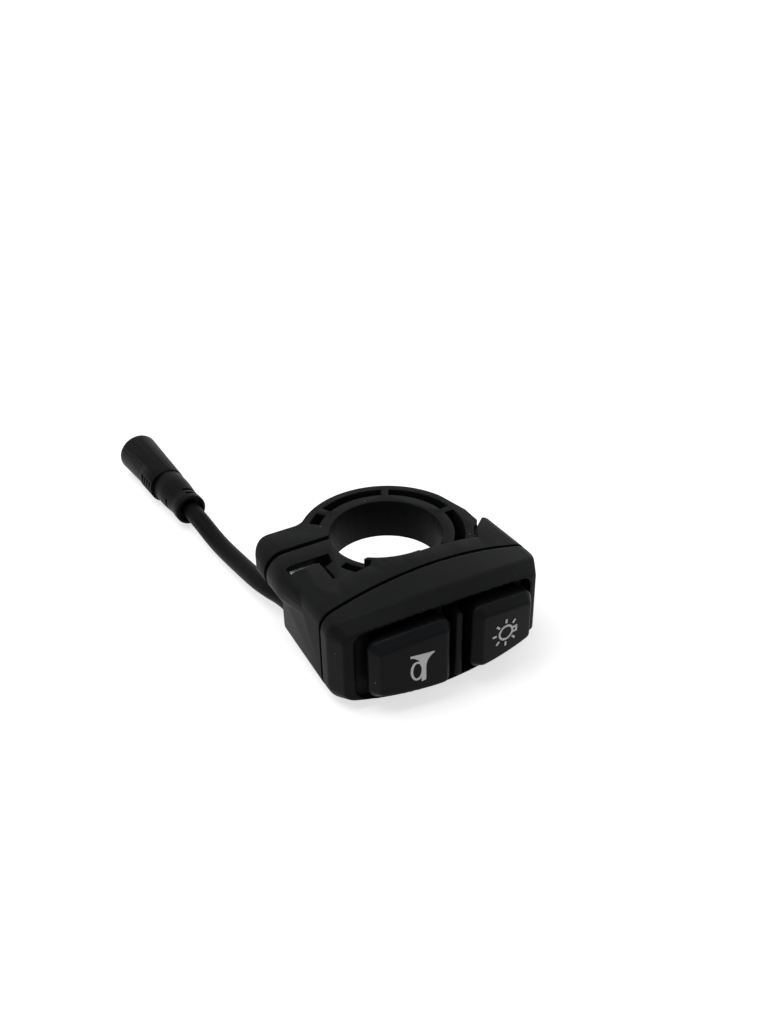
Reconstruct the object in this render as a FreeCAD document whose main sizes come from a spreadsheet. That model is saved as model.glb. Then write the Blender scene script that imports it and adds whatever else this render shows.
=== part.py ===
import FreeCAD, Part
import math
import os
import re
import Sketcher

# Handlebar horn and light switch: a pillow-shaped two-part housing on a split bar clamp, with two
# sprung keys in front and a short lead with a round waterproof plug behind.
# Frame, in millimetres: the bore of the bar clamp is the Z axis, with Z = 0 at half the clamp's width.
# The keys face -Y, the clamp's screw lies on the -X side, and the lead leaves towards +Y.

doc = FreeCAD.newDocument("HornButton")
sheet = doc.addObject("Spreadsheet::Sheet", "Sizes")

SIZES = {
    # all pieces
    "overlap": (0.1, "how far a cut or a joined piece runs past the face it starts from"),
    # bar clamp
    "bar_diameter": (22.2, "outside diameter of the handlebar"),
    "bar_clearance": (0.05, "radial clearance of the bore on the bar"),
    "ring_width": (8.6, "width of the clamp along the bar"),
    "ring_wall": (6.0, "radial thickness of the ring"),
    "joint_flat": (0.9, "how far the cap's end face steps in at the ring joint"),
    "joint_set_back": (1.2, "height of that step above the joint's edge on the bore"),
    "arm_reach": (8.6, "how far ahead of the bore axis the arm's outer side stays upright"),
    "pin_below": (3.3, "how far the hinge pin reaches below the ring"),
    "pin_above": (1.9, "how far the hinge pin reaches above the cap's arm"),
    "side_swell": (0.6, "how far the cap's right side stands out of the ring"),
    "groove_wall": (2.35, "ring left between the bore and the lightening grooves"),
    "groove_width": (2.1, "radial width of a lightening groove"),
    "groove_depth": (6.8, "depth of a lightening groove"),
    "saddle_groove_wall": (1.3, "saddle left between the bore and its own groove"),
    "saddle_groove_width": (1.8, "radial width of the saddle's groove"),
    "slit_front": (3.5, "front face of the clamp's slit, behind the bore axis"),
    "slit_width": (1.2, "width of the clamp's slit"),
    "ear_reach": (24.3, "distance of the ears' ends from the bore axis"),
    "ear_thickness": (6.3, "thickness of the cap's ear"),
    "lower_ear": (5.2, "thickness of the rear shell's ear"),
    "ear_flank": (12.0, "slope of the rear shell's ear into the housing, degrees"),
    "ear_round": (4.1, "radius of the ears' rounded ends"),
    "ear_corner": (3.0, "plan radius of the cap ear's back corner"),
    "ear_blend": (4.0, "radius between the cap's ear and ring"),
    "hinge_across": (12.4, "distance of the hinge pin to the right of the bore axis"),
    "hinge_ahead": (12.7, "distance of the hinge pin in front of the bore axis"),
    "pin_radius": (1.0, "radius of the hinge pin"),
    "pin_clearance": (0.06, "radial clearance of the cap on the hinge pin"),
    "knuckle_radius": (2.3, "outer radius of the cap's knuckle"),
    "arm_drop": (1.2, "how far the cap's arm lies below the ring's upper face"),
    "arm_end_gap": (0.3, "gap above and below the cap's arm"),
    "arm_clearance": (0.5, "gap round the cap's arm and knuckle"),
    "ring_joint_angle": (48.0, "where the cap's ring ends, clockwise from the X axis, degrees"),
    "ring_joint_gap": (0.25, "gap between the cap's end and the saddle"),
    # clamp screw
    "screw_across": (18.7, "distance of the clamp screw from the bore axis"),
    "screw_above": (0.4, "height of the clamp screw over the ring's middle plane"),
    "screw_radius": (1.5, "radius of the clamp screw"),
    "screw_clearance": (0.2, "radial clearance of the clamp screw in the ears"),
    "thread_clearance": (0.04, "radial clearance of the screw's cylinder in the nut"),
    "screw_reach": (6.45, "distance of the screw's tip in front of the slit"),
    "screw_spare": (0.8, "depth of the screw's hole beyond its tip"),
    "head_radius": (2.65, "radius of the clamp screw's head"),
    "head_height": (2.4, "height of the clamp screw's head"),
    "socket_size": (2.5, "size across flats of the hexagon socket"),
    "socket_depth": (1.4, "depth of the hexagon socket"),
    "washer_radius": (2.75, "outer radius of the washer"),
    "washer_thickness": (0.6, "thickness of the washer"),
    "seat_depth": (2.6, "depth of the screw head's seat in the cap's ear"),
    "seat_clearance": (0.2, "gap round the washer in its seat"),
    "ear_slot_extra": (1.1, "length added to the cap ear's screw slot for its swing"),
    "nut_size": (5.5, "size across flats of the square nut"),
    "nut_thickness": (1.8, "thickness of the square nut"),
    "nut_clearance": (0.08, "clearance of the nut in its pocket"),
    "nut_set_back": (4.3, "distance of the nut's back face in front of the slit's front face"),
    # housing
    "body_left": (22.9, "reach of the housing to the left of the bore axis"),
    "body_right": (22.0, "reach of the housing to the right of the bore axis"),
    "body_top": (7.1, "height of the housing's crown over the ring's middle plane"),
    "body_bottom": (14.7, "depth of the housing's belly under the ring's middle plane"),
    "top_crown": (70.0, "radius of the housing's crown"),
    "bottom_crown": (116.0, "radius of the housing's belly"),
    "belly_shift": (8.0, "distance of the belly's lowest line to the left of the bore axis"),
    "body_corner": (3.5, "radius of the housing's long corners"),
    "parting": (16.2, "distance of the parting plane in front of the bore axis"),
    "parting_gap": (0.5, "width of the joint line between the shells"),
    "back_face": (12.0, "distance of the housing's back face in front of the bore axis"),
    "body_taper": (1.5, "taper of the rear shell, degrees"),
    "shell_wall": (1.8, "wall thickness of the shells"),
    "hinge_wall": (1.2, "wall between the arm's pocket and the rear shell's inside"),
    "hinge_floor": (2.3, "solid left under the clamp's ring round the hinge"),
    "cavity_wall": (2.5, "wall at the two ends of the rear shell"),
    "left_block": (12.4, "distance of the left block's inner face from the bore axis"),
    "left_block_back": (1.0, "back face of the left block under the ears, behind the bore axis"),
    "right_block": (19.2, "distance of the right block's rear tip from the bore axis"),
    "right_block_back": (4.9, "distance of the right block's rear tip in front of the bore axis"),
    "pocket_back": (4.22, "distance of the nut pocket's back face in front of the slit's front face"),
    "pocket_left": (3.3, "reach of the nut pocket to the left of the screw"),
    "pocket_right": (5.7, "reach of the nut pocket to the right of the screw"),
    "pocket_notch": (1.9, "how far the pocket's right end reaches in front of the nut"),
    "pocket_depth": (2.5, "depth of the nut pocket's wide mouth"),
    "relief_slot_right": (2.8, "distance of the short slot to the right of the screw"),
    "relief_slot_width": (0.6, "width of the short slot in front of the nut pocket"),
    "relief_slot_length": (5.8, "length of the short slot in front of the nut pocket"),
    "relief_slot_depth": (3.0, "depth of the short slot in front of the nut pocket"),
    "bay_left": (9.7, "reach of the bay behind the shell to the left of the bore axis"),
    "bay_corner": (9.2, "reach of the bay's floor to the left of the bore axis"),
    "bay_right": (0.7, "reach of the bay's floor to the right of the bore axis"),
    "bay_floor": (8.2, "distance of the bay's floor in front of the bore axis"),
    "plate_right": (1.2, "how far the plate over the hinge lies straight, to the right of its pin"),
    "plate_slope": (2.8, "width of the plate's slope up to the right block's tip"),
    "plate_back": (7.7, "distance of that slope's end in front of the bore axis"),
    "step_back": (10.6, "distance of the crown's step, over the left block, in front of the bore axis"),
    "block_round": (2.2, "rounding of the left block's lower back edge"),
    "bore_relief": (0.6, "how far the housing stands back from the bar beside the ring"),
    "cavity_depth": (2.6, "depth of the rear shell's cavity behind the parting plane"),
    # front cover
    "front_reach": (26.7, "distance of the bezel's front edge in front of the bore axis"),
    "front_bulge": (70.0, "plan radius of the bulged front"),
    "bulge_shift": (2.0, "distance of the bulge's foremost line to the right of the bore axis"),
    "end_back": (17.6, "where the cover's right end starts to slope, in front of the bore axis"),
    "end_across": (17.0, "distance of that slope's front end from the bore axis"),
    "end_rise": (0.3, "how far ahead of the cover's flat front the slope's arc starts"),
    "end_round": (60.0, "plan radius of that slope"),
    "bezel_depth": (3.0, "length of the bezel's slope from back to front"),
    "bezel_inset": (1.7, "how far the bezel slopes inwards"),
    "bezel_round": (0.6, "rounding of the bezel's outer edge"),
    "recess_left": (19.3, "reach of the recess round the keys to the left of the middle"),
    "recess_right": (16.9, "reach of the recess round the keys to the right of the middle"),
    "recess_inset": (1.9, "height of the bezel over the recess"),
    "recess_corner": (2.4, "corner radius of the recess"),
    "recess_floor": (22.4, "distance of the recess's floor in front of the bore axis"),
    "cover_wall": (2.4, "wall thickness of the front cover"),
    "inside_right": (18.0, "reach of the cover's inside to the right of the middle"),
    "web_thickness": (1.1, "thickness of the recess's floor"),
    "rib_width": (1.5, "width of the rib between the keys"),
    "rib_front": (27.4, "distance of the rib's front in front of the bore axis"),
    "rib_top": (2.8, "height of the rib's top over the ring's middle plane"),
    "rib_drop": (11.9, "depth of the rib's lower end under the ring's middle plane"),
    "gasket_inset": (1.0, "distance of the gasket from the shells' outside"),
    "gasket_width": (0.8, "width of the gasket"),
    "hook_left": (14.0, "distance of the left snap hook from the middle"),
    "hook_right": (3.0, "distance of the right snap hook from the middle"),
    "hook_width": (4.0, "width of a snap hook"),
    "hook_thickness": (1.0, "thickness of a snap hook"),
    "hook_reach": (2.1, "reach of a snap hook behind the parting plane"),
    "hook_nib": (0.7, "height and length of a snap hook's nib"),
    "hook_clearance": (0.25, "gap round a snap hook"),
    # keys
    "key_gap": (1.9, "gap between a key's upper side and the recess"),
    "key_gap_low": (1.3, "gap between a key's lower side and the recess"),
    "key_left": (17.6, "distance of the left key's outer side from the middle"),
    "key_right": (16.2, "distance of the right key's outer side from the middle"),
    "key_inner": (2.2, "distance of a key's inner side from the middle"),
    "key_corner": (2.0, "corner radius of a key"),
    "key_stand": (2.9, "how far the keys stand out of the bezel"),
    "key_bevel": (1.4, "inward size of a key's upper and lower bevel"),
    "key_bevel_depth": (1.8, "depth of a key's upper and lower bevel"),
    "key_round": (0.6, "rounding of a key's front edges"),
    "key_travel": (1.5, "travel of a key"),
    "key_end_clearance": (0.2, "wall left before a key's hollow, and play before its switch"),
    "key_end_gap": (0.3, "space left under a pressed key"),
    "neck_half_width": (5.6, "half the width of a key's neck"),
    "neck_half_height": (4.4, "half the height of a key's neck"),
    "neck_wall": (1.2, "wall of a key's neck"),
    "neck_clearance": (0.2, "gap between a key's neck and its window"),
    "flange_width": (0.8, "width of the flange that keeps a key in"),
    "flange_thickness": (1.0, "thickness of a key's flange"),
    "seal_thickness": (0.4, "thickness of a key's seal"),
    "rest_gap": (0.05, "gap between a key's flange and its seal"),
    "post_radius": (1.2, "radius of a key's post and of the switch's plunger"),
    "symbol_thickness": (0.12, "thickness of the printed symbols"),
    "symbol_line": (0.42, "width of the printed symbols' lines"),
    "horn_across": (8.45, "distance of the horn symbol's tube to the left of the middle"),
    "horn_level": (1.8, "depth of the horn symbol's mouth under the ring's middle plane"),
    "horn_left": (2.5, "reach of the horn symbol's mouth to the left of its tube"),
    "horn_right": (2.0, "reach of the horn symbol's mouth to the right of its tube"),
    "horn_height": (6.3, "height of the horn symbol"),
    "loop_level": (3.65, "depth of the horn symbol's loop under its mouth"),
    "loop_width": (1.25, "half the width of the horn symbol's loop"),
    "loop_height": (2.15, "half the height of the horn symbol's loop"),
    "loop_end": (0.95, "radius of the loop's upper and lower ends"),
    "lamp_across": (8.8, "distance of the lamp symbol to the right of the middle"),
    "lamp_level": (3.75, "depth of the lamp symbol's middle under the ring's middle plane"),
    "lamp_radius": (1.7, "radius of the lamp symbol's ring"),
    "lamp_base": (2.65, "reach of the lamp symbol's base from its middle"),
    "lamp_base_half": (0.7, "half the height of the lamp symbol's base"),
    "ray_start": (2.15, "distance of a ray's start from the lamp symbol's middle"),
    "ray_end": (3.05, "distance of a ray's end from the lamp symbol's middle"),
    # circuit board and switches
    "board_thickness": (0.8, "thickness of the circuit board"),
    "board_gap": (0.3, "distance of the board in front of the parting plane"),
    "board_left": (19.6, "reach of the circuit board to the left of the middle"),
    "board_right": (17.2, "reach of the circuit board to the right of the middle"),
    "board_bottom": (9.0, "depth of the board's lower edge under the ring's middle plane"),
    "board_top": (1.6, "height of the board's upper edge over the ring's middle plane"),
    "switch_size": (6.0, "side of a switch's case"),
    "switch_height": (2.2, "height of a switch's case"),
    "plunger_clearance": (0.05, "radial clearance of a switch's plunger"),
    "spring_radius": (2.1, "mean radius of a key's return spring"),
    "spring_wire": (0.4, "wire diameter of a key's return spring"),
    "spring_turns": (4.0, "turns of a key's return spring"),
    "spring_seat": (0.15, "gap at each end of a return spring"),
    # fasteners inside
    "cover_screw_across": (6.0, "distance of the cover screws from the middle"),
    "cover_screw_drop": (11.0, "depth of the cover screws under the ring's middle plane"),
    "cover_screw_radius": (0.9, "radius of a cover screw"),
    "cover_head_radius": (1.6, "radius of a cover screw's head"),
    "screw_way": (5.0, "how far behind the flat back the cover screws' ways are open"),
    "head_room": (0.2, "radial room round a cover screw's head"),
    "screw_bite": (0.4, "least web left ahead of a screw's end"),
    "cover_head_height": (1.3, "height of a cover screw's head"),
    "boss_wall": (0.9, "wall of a screw boss round its screw"),
    "board_screw_radius": (0.8, "radius of a board screw"),
    "board_head_radius": (1.5, "radius of a board screw's head"),
    "board_head_height": (0.9, "height of a board screw's head"),
    "board_screw_half": (4.0, "half the distance between the board screws"),
    # lead and plug
    "cable_radius": (2.0, "radius of the lead"),
    "cable_across": (18.9, "distance of the lead's exit to the left of the bore axis"),
    "cable_drop": (9.3, "depth of the lead's exit under the ring's middle plane"),
    "gland_wall": (0.4, "wall of the rubber gland round the lead"),
    "gland_lip": (0.25, "height of the gland's flanges"),
    "gland_stand": (1.6, "how far the gland stands out of the housing"),
    "lip_thickness": (0.8, "thickness of the gland's flanges"),
    "gland_clearance": (0.05, "gap between the gland and its hole"),
    "block_wall": (1.6, "wall of the left block behind the lead's channel"),
    "tail_length": (7.0, "length of the lead's jacket inside the housing"),
    "crimp_length": (2.5, "length of the ring that holds the jacket against a pull"),
    "wire_offset": (0.6, "distance of a conductor from the middle of the lead"),
    "wire_stack": (0.8, "how far the third conductor lies above the other two"),
    "wire_lift": (0.9, "height of the lower two conductors over the middle of the lead"),
    "wire_radius": (0.45, "radius of a conductor's insulation"),
    "plug_near": (3.95, "radius of the plug beside its strain relief"),
    "plug_radius": (4.67, "radius of the plug at its mouth"),
    "plug_length": (31.2, "length of the plug with its strain relief"),
    "plug_relief": (12.8, "length of the plug's ribbed strain relief"),
    "relief_radius": (3.8, "radius of the strain relief beside the plug's grip"),
    "neck_radius": (3.4, "radius of the strain relief's neck"),
    "neck_place": (3.6, "distance of the neck from the collar's mouth"),
    "neck_swell": (4.6, "distance from the neck to the relief's full radius"),
    "collar_radius": (3.55, "radius of the strain relief's collar"),
    "collar_length": (1.8, "length of the collar"),
    "collar_edge": (0.3, "chamfer of the collar's mouth"),
    "cup_radius": (2.85, "radius of the collar's mouth round the lead"),
    "cup_depth": (1.2, "depth of the collar's mouth"),
    "flex_start": (1.7, "distance of the relief's first slot from the collar's mouth"),
    "flex_pitch": (1.9, "distance from one slot of the relief to the next"),
    "flex_gap": (0.75, "width of a slot of the relief"),
    "flex_floor": (2.9, "radius of the floor of the relief's slots"),
    "pad_shift": (0.5, "how far the grip's pad stands out on the left"),
    "pad_length": (6.6, "length of the grip's pad"),
    "rib_start": (0.6, "distance of the first grip groove from the relief"),
    "rib_gap": (0.6, "width of a groove in the plug's grip"),
    "rib_pitch": (1.3, "distance from one grip groove to the next"),
    "rib_depth": (0.5, "depth of a groove in the plug's grip"),
    "plug_socket_radius": (3.5, "radius of the plug's socket"),
    "plug_socket_depth": (7.5, "depth of the plug's socket"),
    "plug_edge": (0.6, "chamfer at the plug's ends"),
    "insert_thickness": (2.0, "thickness of the plug's insert"),
    "contact_radius": (0.5, "radius of a contact pin"),
    "contact_circle": (1.8, "radius of the circle of contact pins"),
    "contact_set_back": (1.0, "distance of the pins' tips inside the plug's mouth"),
}

for row, (alias, (number, meaning)) in enumerate(SIZES.items(), 1):
    sheet.set(f"A{row}", meaning)
    sheet.set(f"B{row}", str(number))
    sheet.setAlias(f"B{row}", alias)
doc.recompute()


def named(text):
    """The expression with each size's name as its cell in the sheet."""
    return re.sub(r"[a-z_]+", lambda word: ("Sizes." if word[0] in SIZES else "") + word[0], text)


def size(text):
    """The value of an expression in the sizes' names."""
    return float(sheet.evalExpression(named(text)))


# Sizes that follow from the table
BORE = "(bar_diameter / 2 + bar_clearance)"
RIM = f"({BORE} + ring_wall)"
HALF_RING = "(ring_width / 2)"
SLIT_BACK = "(slit_front + slit_width)"
EAR_BACK = f"({SLIT_BACK} + ear_thickness)"
NUT_BACK = "(slit_front - nut_set_back + nut_clearance)"
NUT_FRONT = f"({NUT_BACK} - nut_thickness)"
POCKET_FRONT = f"({NUT_FRONT} - nut_clearance)"
COVER_RIM = "(-1 * (parting + parting_gap))"
WEB_BACK = "(-1 * (recess_floor - web_thickness))"
BOARD_BACK = f"({COVER_RIM} - board_gap)"
BOARD_FRONT = f"({BOARD_BACK} - board_thickness)"
SWITCH_FRONT = f"({BOARD_FRONT} - switch_height)"
KEY_LEVEL = "((body_top - body_bottom) / 2)"
KEY_MIDDLES = {"-1": "(-1 * (key_inner + key_left) / 2)", "1": "((key_inner + key_right) / 2)"}
HEAD_BACK = "(-1 * (recess_floor + key_travel + key_end_gap))"
FLANGE_FRONT = f"({WEB_BACK} + seal_thickness + rest_gap)"
FLANGE_BACK = f"({FLANGE_FRONT} + flange_thickness)"
CHANNEL = "(cable_radius + gland_wall + gland_lip + gland_clearance)"
BLOCK_WALL_FRONT = "(left_block_back - block_wall)"
ARM_TOP = f"({HALF_RING} - arm_drop)"
CAVITY_BACK = "(cavity_depth - parting)"


def place(sketch, edge, vertex, x, y):
    """Holds a point of the sketch at x and y, counted from the sketch's origin."""
    for kind, text in (("DistanceX", x), ("DistanceY", y)):
        index = sketch.addConstraint(Sketcher.Constraint(kind, -1, 1, edge, vertex, size(text)))
        sketch.setExpression(f"Constraints[{index}]", named(text))


def outline(sketch, corners):
    """Draws a closed outline. A corner is (x, y), and (x, y, radius, side) where an arc leads on
    from it, whose centre lies on that side of the way."""
    edges = []
    for number, corner in enumerate(corners):
        following = corners[(number + 1) % len(corners)]
        start = FreeCAD.Vector(size(corner[0]), size(corner[1]), 0)
        end = FreeCAD.Vector(size(following[0]), size(following[1]), 0)
        if len(corner) == 2:
            edges.append((sketch.addGeometry(Part.LineSegment(start, end)), 1, 2))
            continue
        radius, leftwards = size(corner[2]), corner[3] == "left"
        half = (end - start) * 0.5
        normal = FreeCAD.Vector(-half.y, half.x, 0).normalize() * (1 if leftwards else -1)
        centre = start + half + normal * math.sqrt(radius ** 2 - half.Length ** 2)
        first, last = (start, end) if leftwards else (end, start)
        angles = [math.atan2(point.y - centre.y, point.x - centre.x) for point in (first, last)]
        circle = Part.Circle(centre, FreeCAD.Vector(0, 0, 1), radius)
        edge = sketch.addGeometry(Part.ArcOfCircle(circle, angles[0], angles[1]))
        index = sketch.addConstraint(Sketcher.Constraint("Radius", edge, radius))
        sketch.setExpression(f"Constraints[{index}]", named(corner[2]))
        edges.append((edge, 1, 2) if leftwards else (edge, 2, 1))
    for number, (edge, begin, finish) in enumerate(edges):
        after, after_begin, _ = edges[(number + 1) % len(edges)]
        sketch.addConstraint(Sketcher.Constraint("Coincident", edge, finish, after, after_begin))
        place(sketch, edge, begin, corners[number][0], corners[number][1])


def rectangle(sketch, left, bottom, right, top):
    outline(sketch, [(left, bottom), (right, bottom), (right, top), (left, top)])


def circle(sketch, x, y, radius):
    centre = FreeCAD.Vector(size(x), size(y), 0)
    edge = sketch.addGeometry(Part.Circle(centre, FreeCAD.Vector(0, 0, 1), size(radius)))
    index = sketch.addConstraint(Sketcher.Constraint("Radius", edge, size(radius)))
    sketch.setExpression(f"Constraints[{index}]", named(radius))
    place(sketch, edge, 3, x, y)


def new_body(label):
    body = doc.addObject("PartDesign::Body", label)
    body.Label = label
    return body


def new_sketch(body, name, plane, offset):
    """A sketch parallel to one of the body's own planes, at a place along the third axis."""
    sketch = body.newObject("Sketcher::SketchObject", name)
    support = next(item for item in body.Origin.OriginFeatures if item.Role == plane + "_Plane")
    sketch.AttachmentSupport = [(support, "")]
    sketch.MapMode = "FlatFace"
    sign = "-1 * " if plane == "XZ" else ""
    sketch.setExpression("AttachmentOffset.Base.z", named(f"{sign}({offset})"))
    return sketch


def extrude(body, name, plane, start, end, draw, cut=False, taper=None):
    """Pads or pockets what draw puts in a sketch, from start to end along the plane's normal axis."""
    before = body.Tip.Shape.Volume if body.Tip else 0
    sketch = new_sketch(body, name + "Sketch", plane, start)
    draw(sketch)
    feature = body.newObject("PartDesign::Pocket" if cut else "PartDesign::Pad", name)
    feature.Profile = sketch
    feature.setExpression("Length", named(f"({end}) - ({start})"))
    feature.Reversed = (plane == "XZ") != cut
    if taper:
        feature.setExpression("TaperAngle", named(taper))
    doc.recompute()
    change = body.Tip.Shape.Volume - before
    if (change < 0) != cut or abs(change) < 1e-6:
        raise RuntimeError(f"{body.Label}: {name} changes the volume by {change:.4f}")
    return feature


def cut(body, name, plane, start, end, draw):
    return extrude(body, name, plane, start, end, draw, cut=True)


def revolve(body, name, draw, cut=False):
    """Turns what draw puts in the XZ plane, x as the radius, round the body's Z axis."""
    sketch = new_sketch(body, name + "Sketch", "XZ", "0")
    draw(sketch)
    feature = body.newObject("PartDesign::Groove" if cut else "PartDesign::Revolution", name)
    feature.Profile = sketch
    feature.ReferenceAxis = (sketch, ["V_Axis"])
    feature.Angle = 360
    doc.recompute()
    return feature


def soften(body, name, radius, choose, kind="PartDesign::Fillet"):
    """Rounds the edges of the body so far that choose picks."""
    tip = body.Tip
    edges = [f"Edge{number}" for number, edge in enumerate(tip.Shape.Edges, 1) if choose(edge)]
    if not edges:
        raise RuntimeError(f"{body.Label}: {name} finds no edge")
    feature = body.newObject(kind, name)
    feature.Base = (tip, edges)
    feature.setExpression("Radius", named(radius))
    doc.recompute()
    return feature


def middle(edge):
    return edge.valueAt((edge.FirstParameter + edge.LastParameter) / 2)


def runs_along(edge, axis):
    """Whether an edge is straight and parallel to an axis."""
    if edge.Curve.TypeId != "Part::GeomLine":
        return False
    return abs(abs(edge.Curve.Direction.dot(axis)) - 1) < 1e-3


Y_AXIS = FreeCAD.Vector(0, 1, 0)
Z_AXIS = FreeCAD.Vector(0, 0, 1)


def crown_at(across, inset):
    """Height of the housing's upper side, inset from its outside, at a distance from the middle."""
    radius = f"(top_crown - {inset})"
    return f"(body_top - {inset} - {radius} + sqrt({radius} ^ 2 - ({across}) ^ 2))"


def belly_at(across, inset):
    """Height of the housing's lower side, inset from its outside, at a distance from the middle."""
    radius = f"(bottom_crown - {inset})"
    return f"({inset} - body_bottom + {radius} - sqrt({radius} ^ 2 - ({across} + belly_shift) ^ 2))"


def pillow(inset, left=None, right=None, low_inset=None):
    """The housing's section, seen from the front: a crown, a belly and straight sides."""
    left = left or f"({inset} - body_left)"
    right = right or f"(body_right - {inset})"
    low_inset = low_inset or inset
    return [(left, belly_at(left, low_inset), f"(bottom_crown - {low_inset})", "left"),
            (right, belly_at(right, low_inset)),
            (right, crown_at(right, inset), f"(top_crown - {inset})", "left"), (left, crown_at(left, inset))]


def on_circle(radius, angle):
    """A point of a circle round the bore, at an angle in degrees from the X axis."""
    return f"({radius} * cos({angle}))", f"({radius} * sin({angle}))"


def on_chord(radius, y):
    """The left point of a circle round the bore at a height y."""
    return f"(-1 * sqrt({radius} ^ 2 - ({y}) ^ 2))", y


def ring_sector(inner, outer, first, last):
    """Draws a stretch of a ring round the sketch's origin, between two angles, counter-clockwise."""
    def draw(sketch):
        outline(sketch, [(*on_circle(inner, last), inner, "right"), on_circle(inner, first),
                         (*on_circle(outer, first), outer, "left"), on_circle(outer, last)])
    return draw


def ring_groove(first, last, wall="groove_wall", width="groove_width"):
    """Draws one lightening groove round the bore between two angles."""
    return ring_sector(f"({BORE} + {wall})", f"({BORE} + {wall} + {width})", first, last)


GROOVE_FLOOR = f"({HALF_RING} - groove_depth)"


# The rear shell: a back for the housing, with the saddle, one ear and the nut pocket of the clamp.
LONG_EDGE = 15
SADDLE_EDGE, SADDLE_END = "235", "270"
rear = new_body("rear_housing")
extrude(rear, "Shell", "XZ", "-1 * parting", "slit_front", lambda sketch: outline(sketch, pillow("0")),
        taper="-1 * body_taper")
soften(rear, "LongCorners", "body_corner",
       lambda edge: edge.BoundBox.YLength > LONG_EDGE)


def behind_the_shell(sketch):
    left = "-1 * left_block"
    outline(sketch, [(left, "bar_diameter"), (left, "-1 * step_back"), ("-1 * bay_left", "-1 * step_back"),
                     ("-1 * bay_corner", "-1 * bay_floor"), ("bay_right", "-1 * bay_floor"),
                     ("bay_right", "-1 * back_face"), ("hinge_across + plate_right", "-1 * back_face"),
                     ("right_block - plate_slope", "-1 * plate_back"),
                     ("right_block", "-1 * right_block_back"),
                     ("2 * body_right", "-1 * right_block_back"), ("2 * body_right", "bar_diameter")])


cut(rear, "BehindTheShell", "XY", "-2 * body_bottom", "2 * body_top", behind_the_shell)
cut(rear, "StepOverTheEar", "XY", HALF_RING, "2 * body_top",
    lambda sketch: rectangle(sketch, "-2 * body_left", "-1 * step_back", "-1 * bay_left", "bar_diameter"))
cut(rear, "BlockBack", "XY", "-2 * body_bottom", f"-1 * {HALF_RING}",
    lambda sketch: rectangle(sketch, "-2 * body_left", "left_block_back", "0", "bar_diameter"))


def under_the_block(sketch):
    """What is rounded off the left block's lower back edge, seen from the side."""
    low = "(shell_wall / 4 - body_bottom)"
    outline(sketch, [("left_block_back - block_round", low, "block_round", "left"),
                     ("left_block_back", f"{low} + block_round"),
                     ("left_block_back + 1", f"{low} + block_round"),
                     ("left_block_back + 1", "-2 * body_bottom"),
                     ("left_block_back - block_round", "-2 * body_bottom")])


cut(rear, "BlockRound", "YZ", "-2 * body_left", "-1 * left_block", under_the_block)


def saddle(sketch):
    start = "(360 - ring_joint_angle)"
    outline(sketch, [(*on_circle(RIM, "180"), RIM, "left"), on_circle(RIM, SADDLE_EDGE),
                     on_circle(RIM, start), (*on_circle(BORE, start), BORE, "right"),
                     (*on_circle(BORE, SADDLE_END), BORE, "right"), (*on_circle(BORE, "180"), BORE, "right"),
                     on_chord(BORE, "slit_front"), (*on_chord(RIM, "slit_front"), RIM, "left")])


extrude(rear, "Saddle", "XY", f"-1 * {HALF_RING}", HALF_RING, saddle)


def ear(sketch, inset="0"):
    """An ear's section across the screw, or less all round: square at the ring, round at its end."""
    tip, knee, radius = f"({inset} - ear_reach)", "(ear_round - ear_reach)", f"(ear_round - {inset})"
    inner, half = f"(-1 * {BORE} - 1 - {inset})", f"({HALF_RING} - {inset})"
    outline(sketch, [(inner, f"-1 * {half}"), (inner, half),
                     (knee, half, radius, "left"), (tip, f"{HALF_RING} - ear_round"),
                     (tip, f"ear_round - {HALF_RING}", radius, "left"), (knee, f"-1 * {half}")])


EAR_FRONT = "(slit_front - lower_ear)"
extrude(rear, "Ear", "XZ", EAR_FRONT, "slit_front", ear)
FLANK_INSET = f"(({EAR_FRONT} + step_back) * tan(ear_flank))"
extrude(rear, "EarFlank", "XZ", "-1 * step_back", EAR_FRONT, lambda sketch: ear(sketch, FLANK_INSET),
        taper="ear_flank")
cut(rear, "Bore", "XY", f"-1 * {HALF_RING}", HALF_RING,
    lambda sketch: circle(sketch, "0", "0", BORE))
for name, start, end in (("ReliefUnder", "-2 * body_bottom", f"-1 * {HALF_RING}"),
                         ("ReliefOver", HALF_RING, "2 * body_top")):
    cut(rear, name, "XY", start, end, lambda sketch: circle(sketch, "0", "0", f"{BORE} + bore_relief"))
SADDLE_GROOVE = ("204", "229")
cut(rear, "SaddleGroove", "XY", GROOVE_FLOOR, "body_top",
    ring_groove(*SADDLE_GROOVE, "saddle_groove_wall", "saddle_groove_width"))


def nut_pocket(sketch):
    """The pocket's wide mouth, seen from above: its right end reaches round the nut."""
    left, right = "(-1 * screw_across - pocket_left)", "(pocket_right - screw_across)"
    nut_end, back = "(nut_size / 2 + nut_clearance - screw_across)", "(slit_front - pocket_back)"
    outline(sketch, [(left, POCKET_FRONT), (nut_end, POCKET_FRONT), (nut_end, f"{POCKET_FRONT} - pocket_notch"),
                     (f"{right} - pocket_notch / 4", f"{POCKET_FRONT} - pocket_notch / 2"),
                     (right, back), (left, back)])


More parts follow.
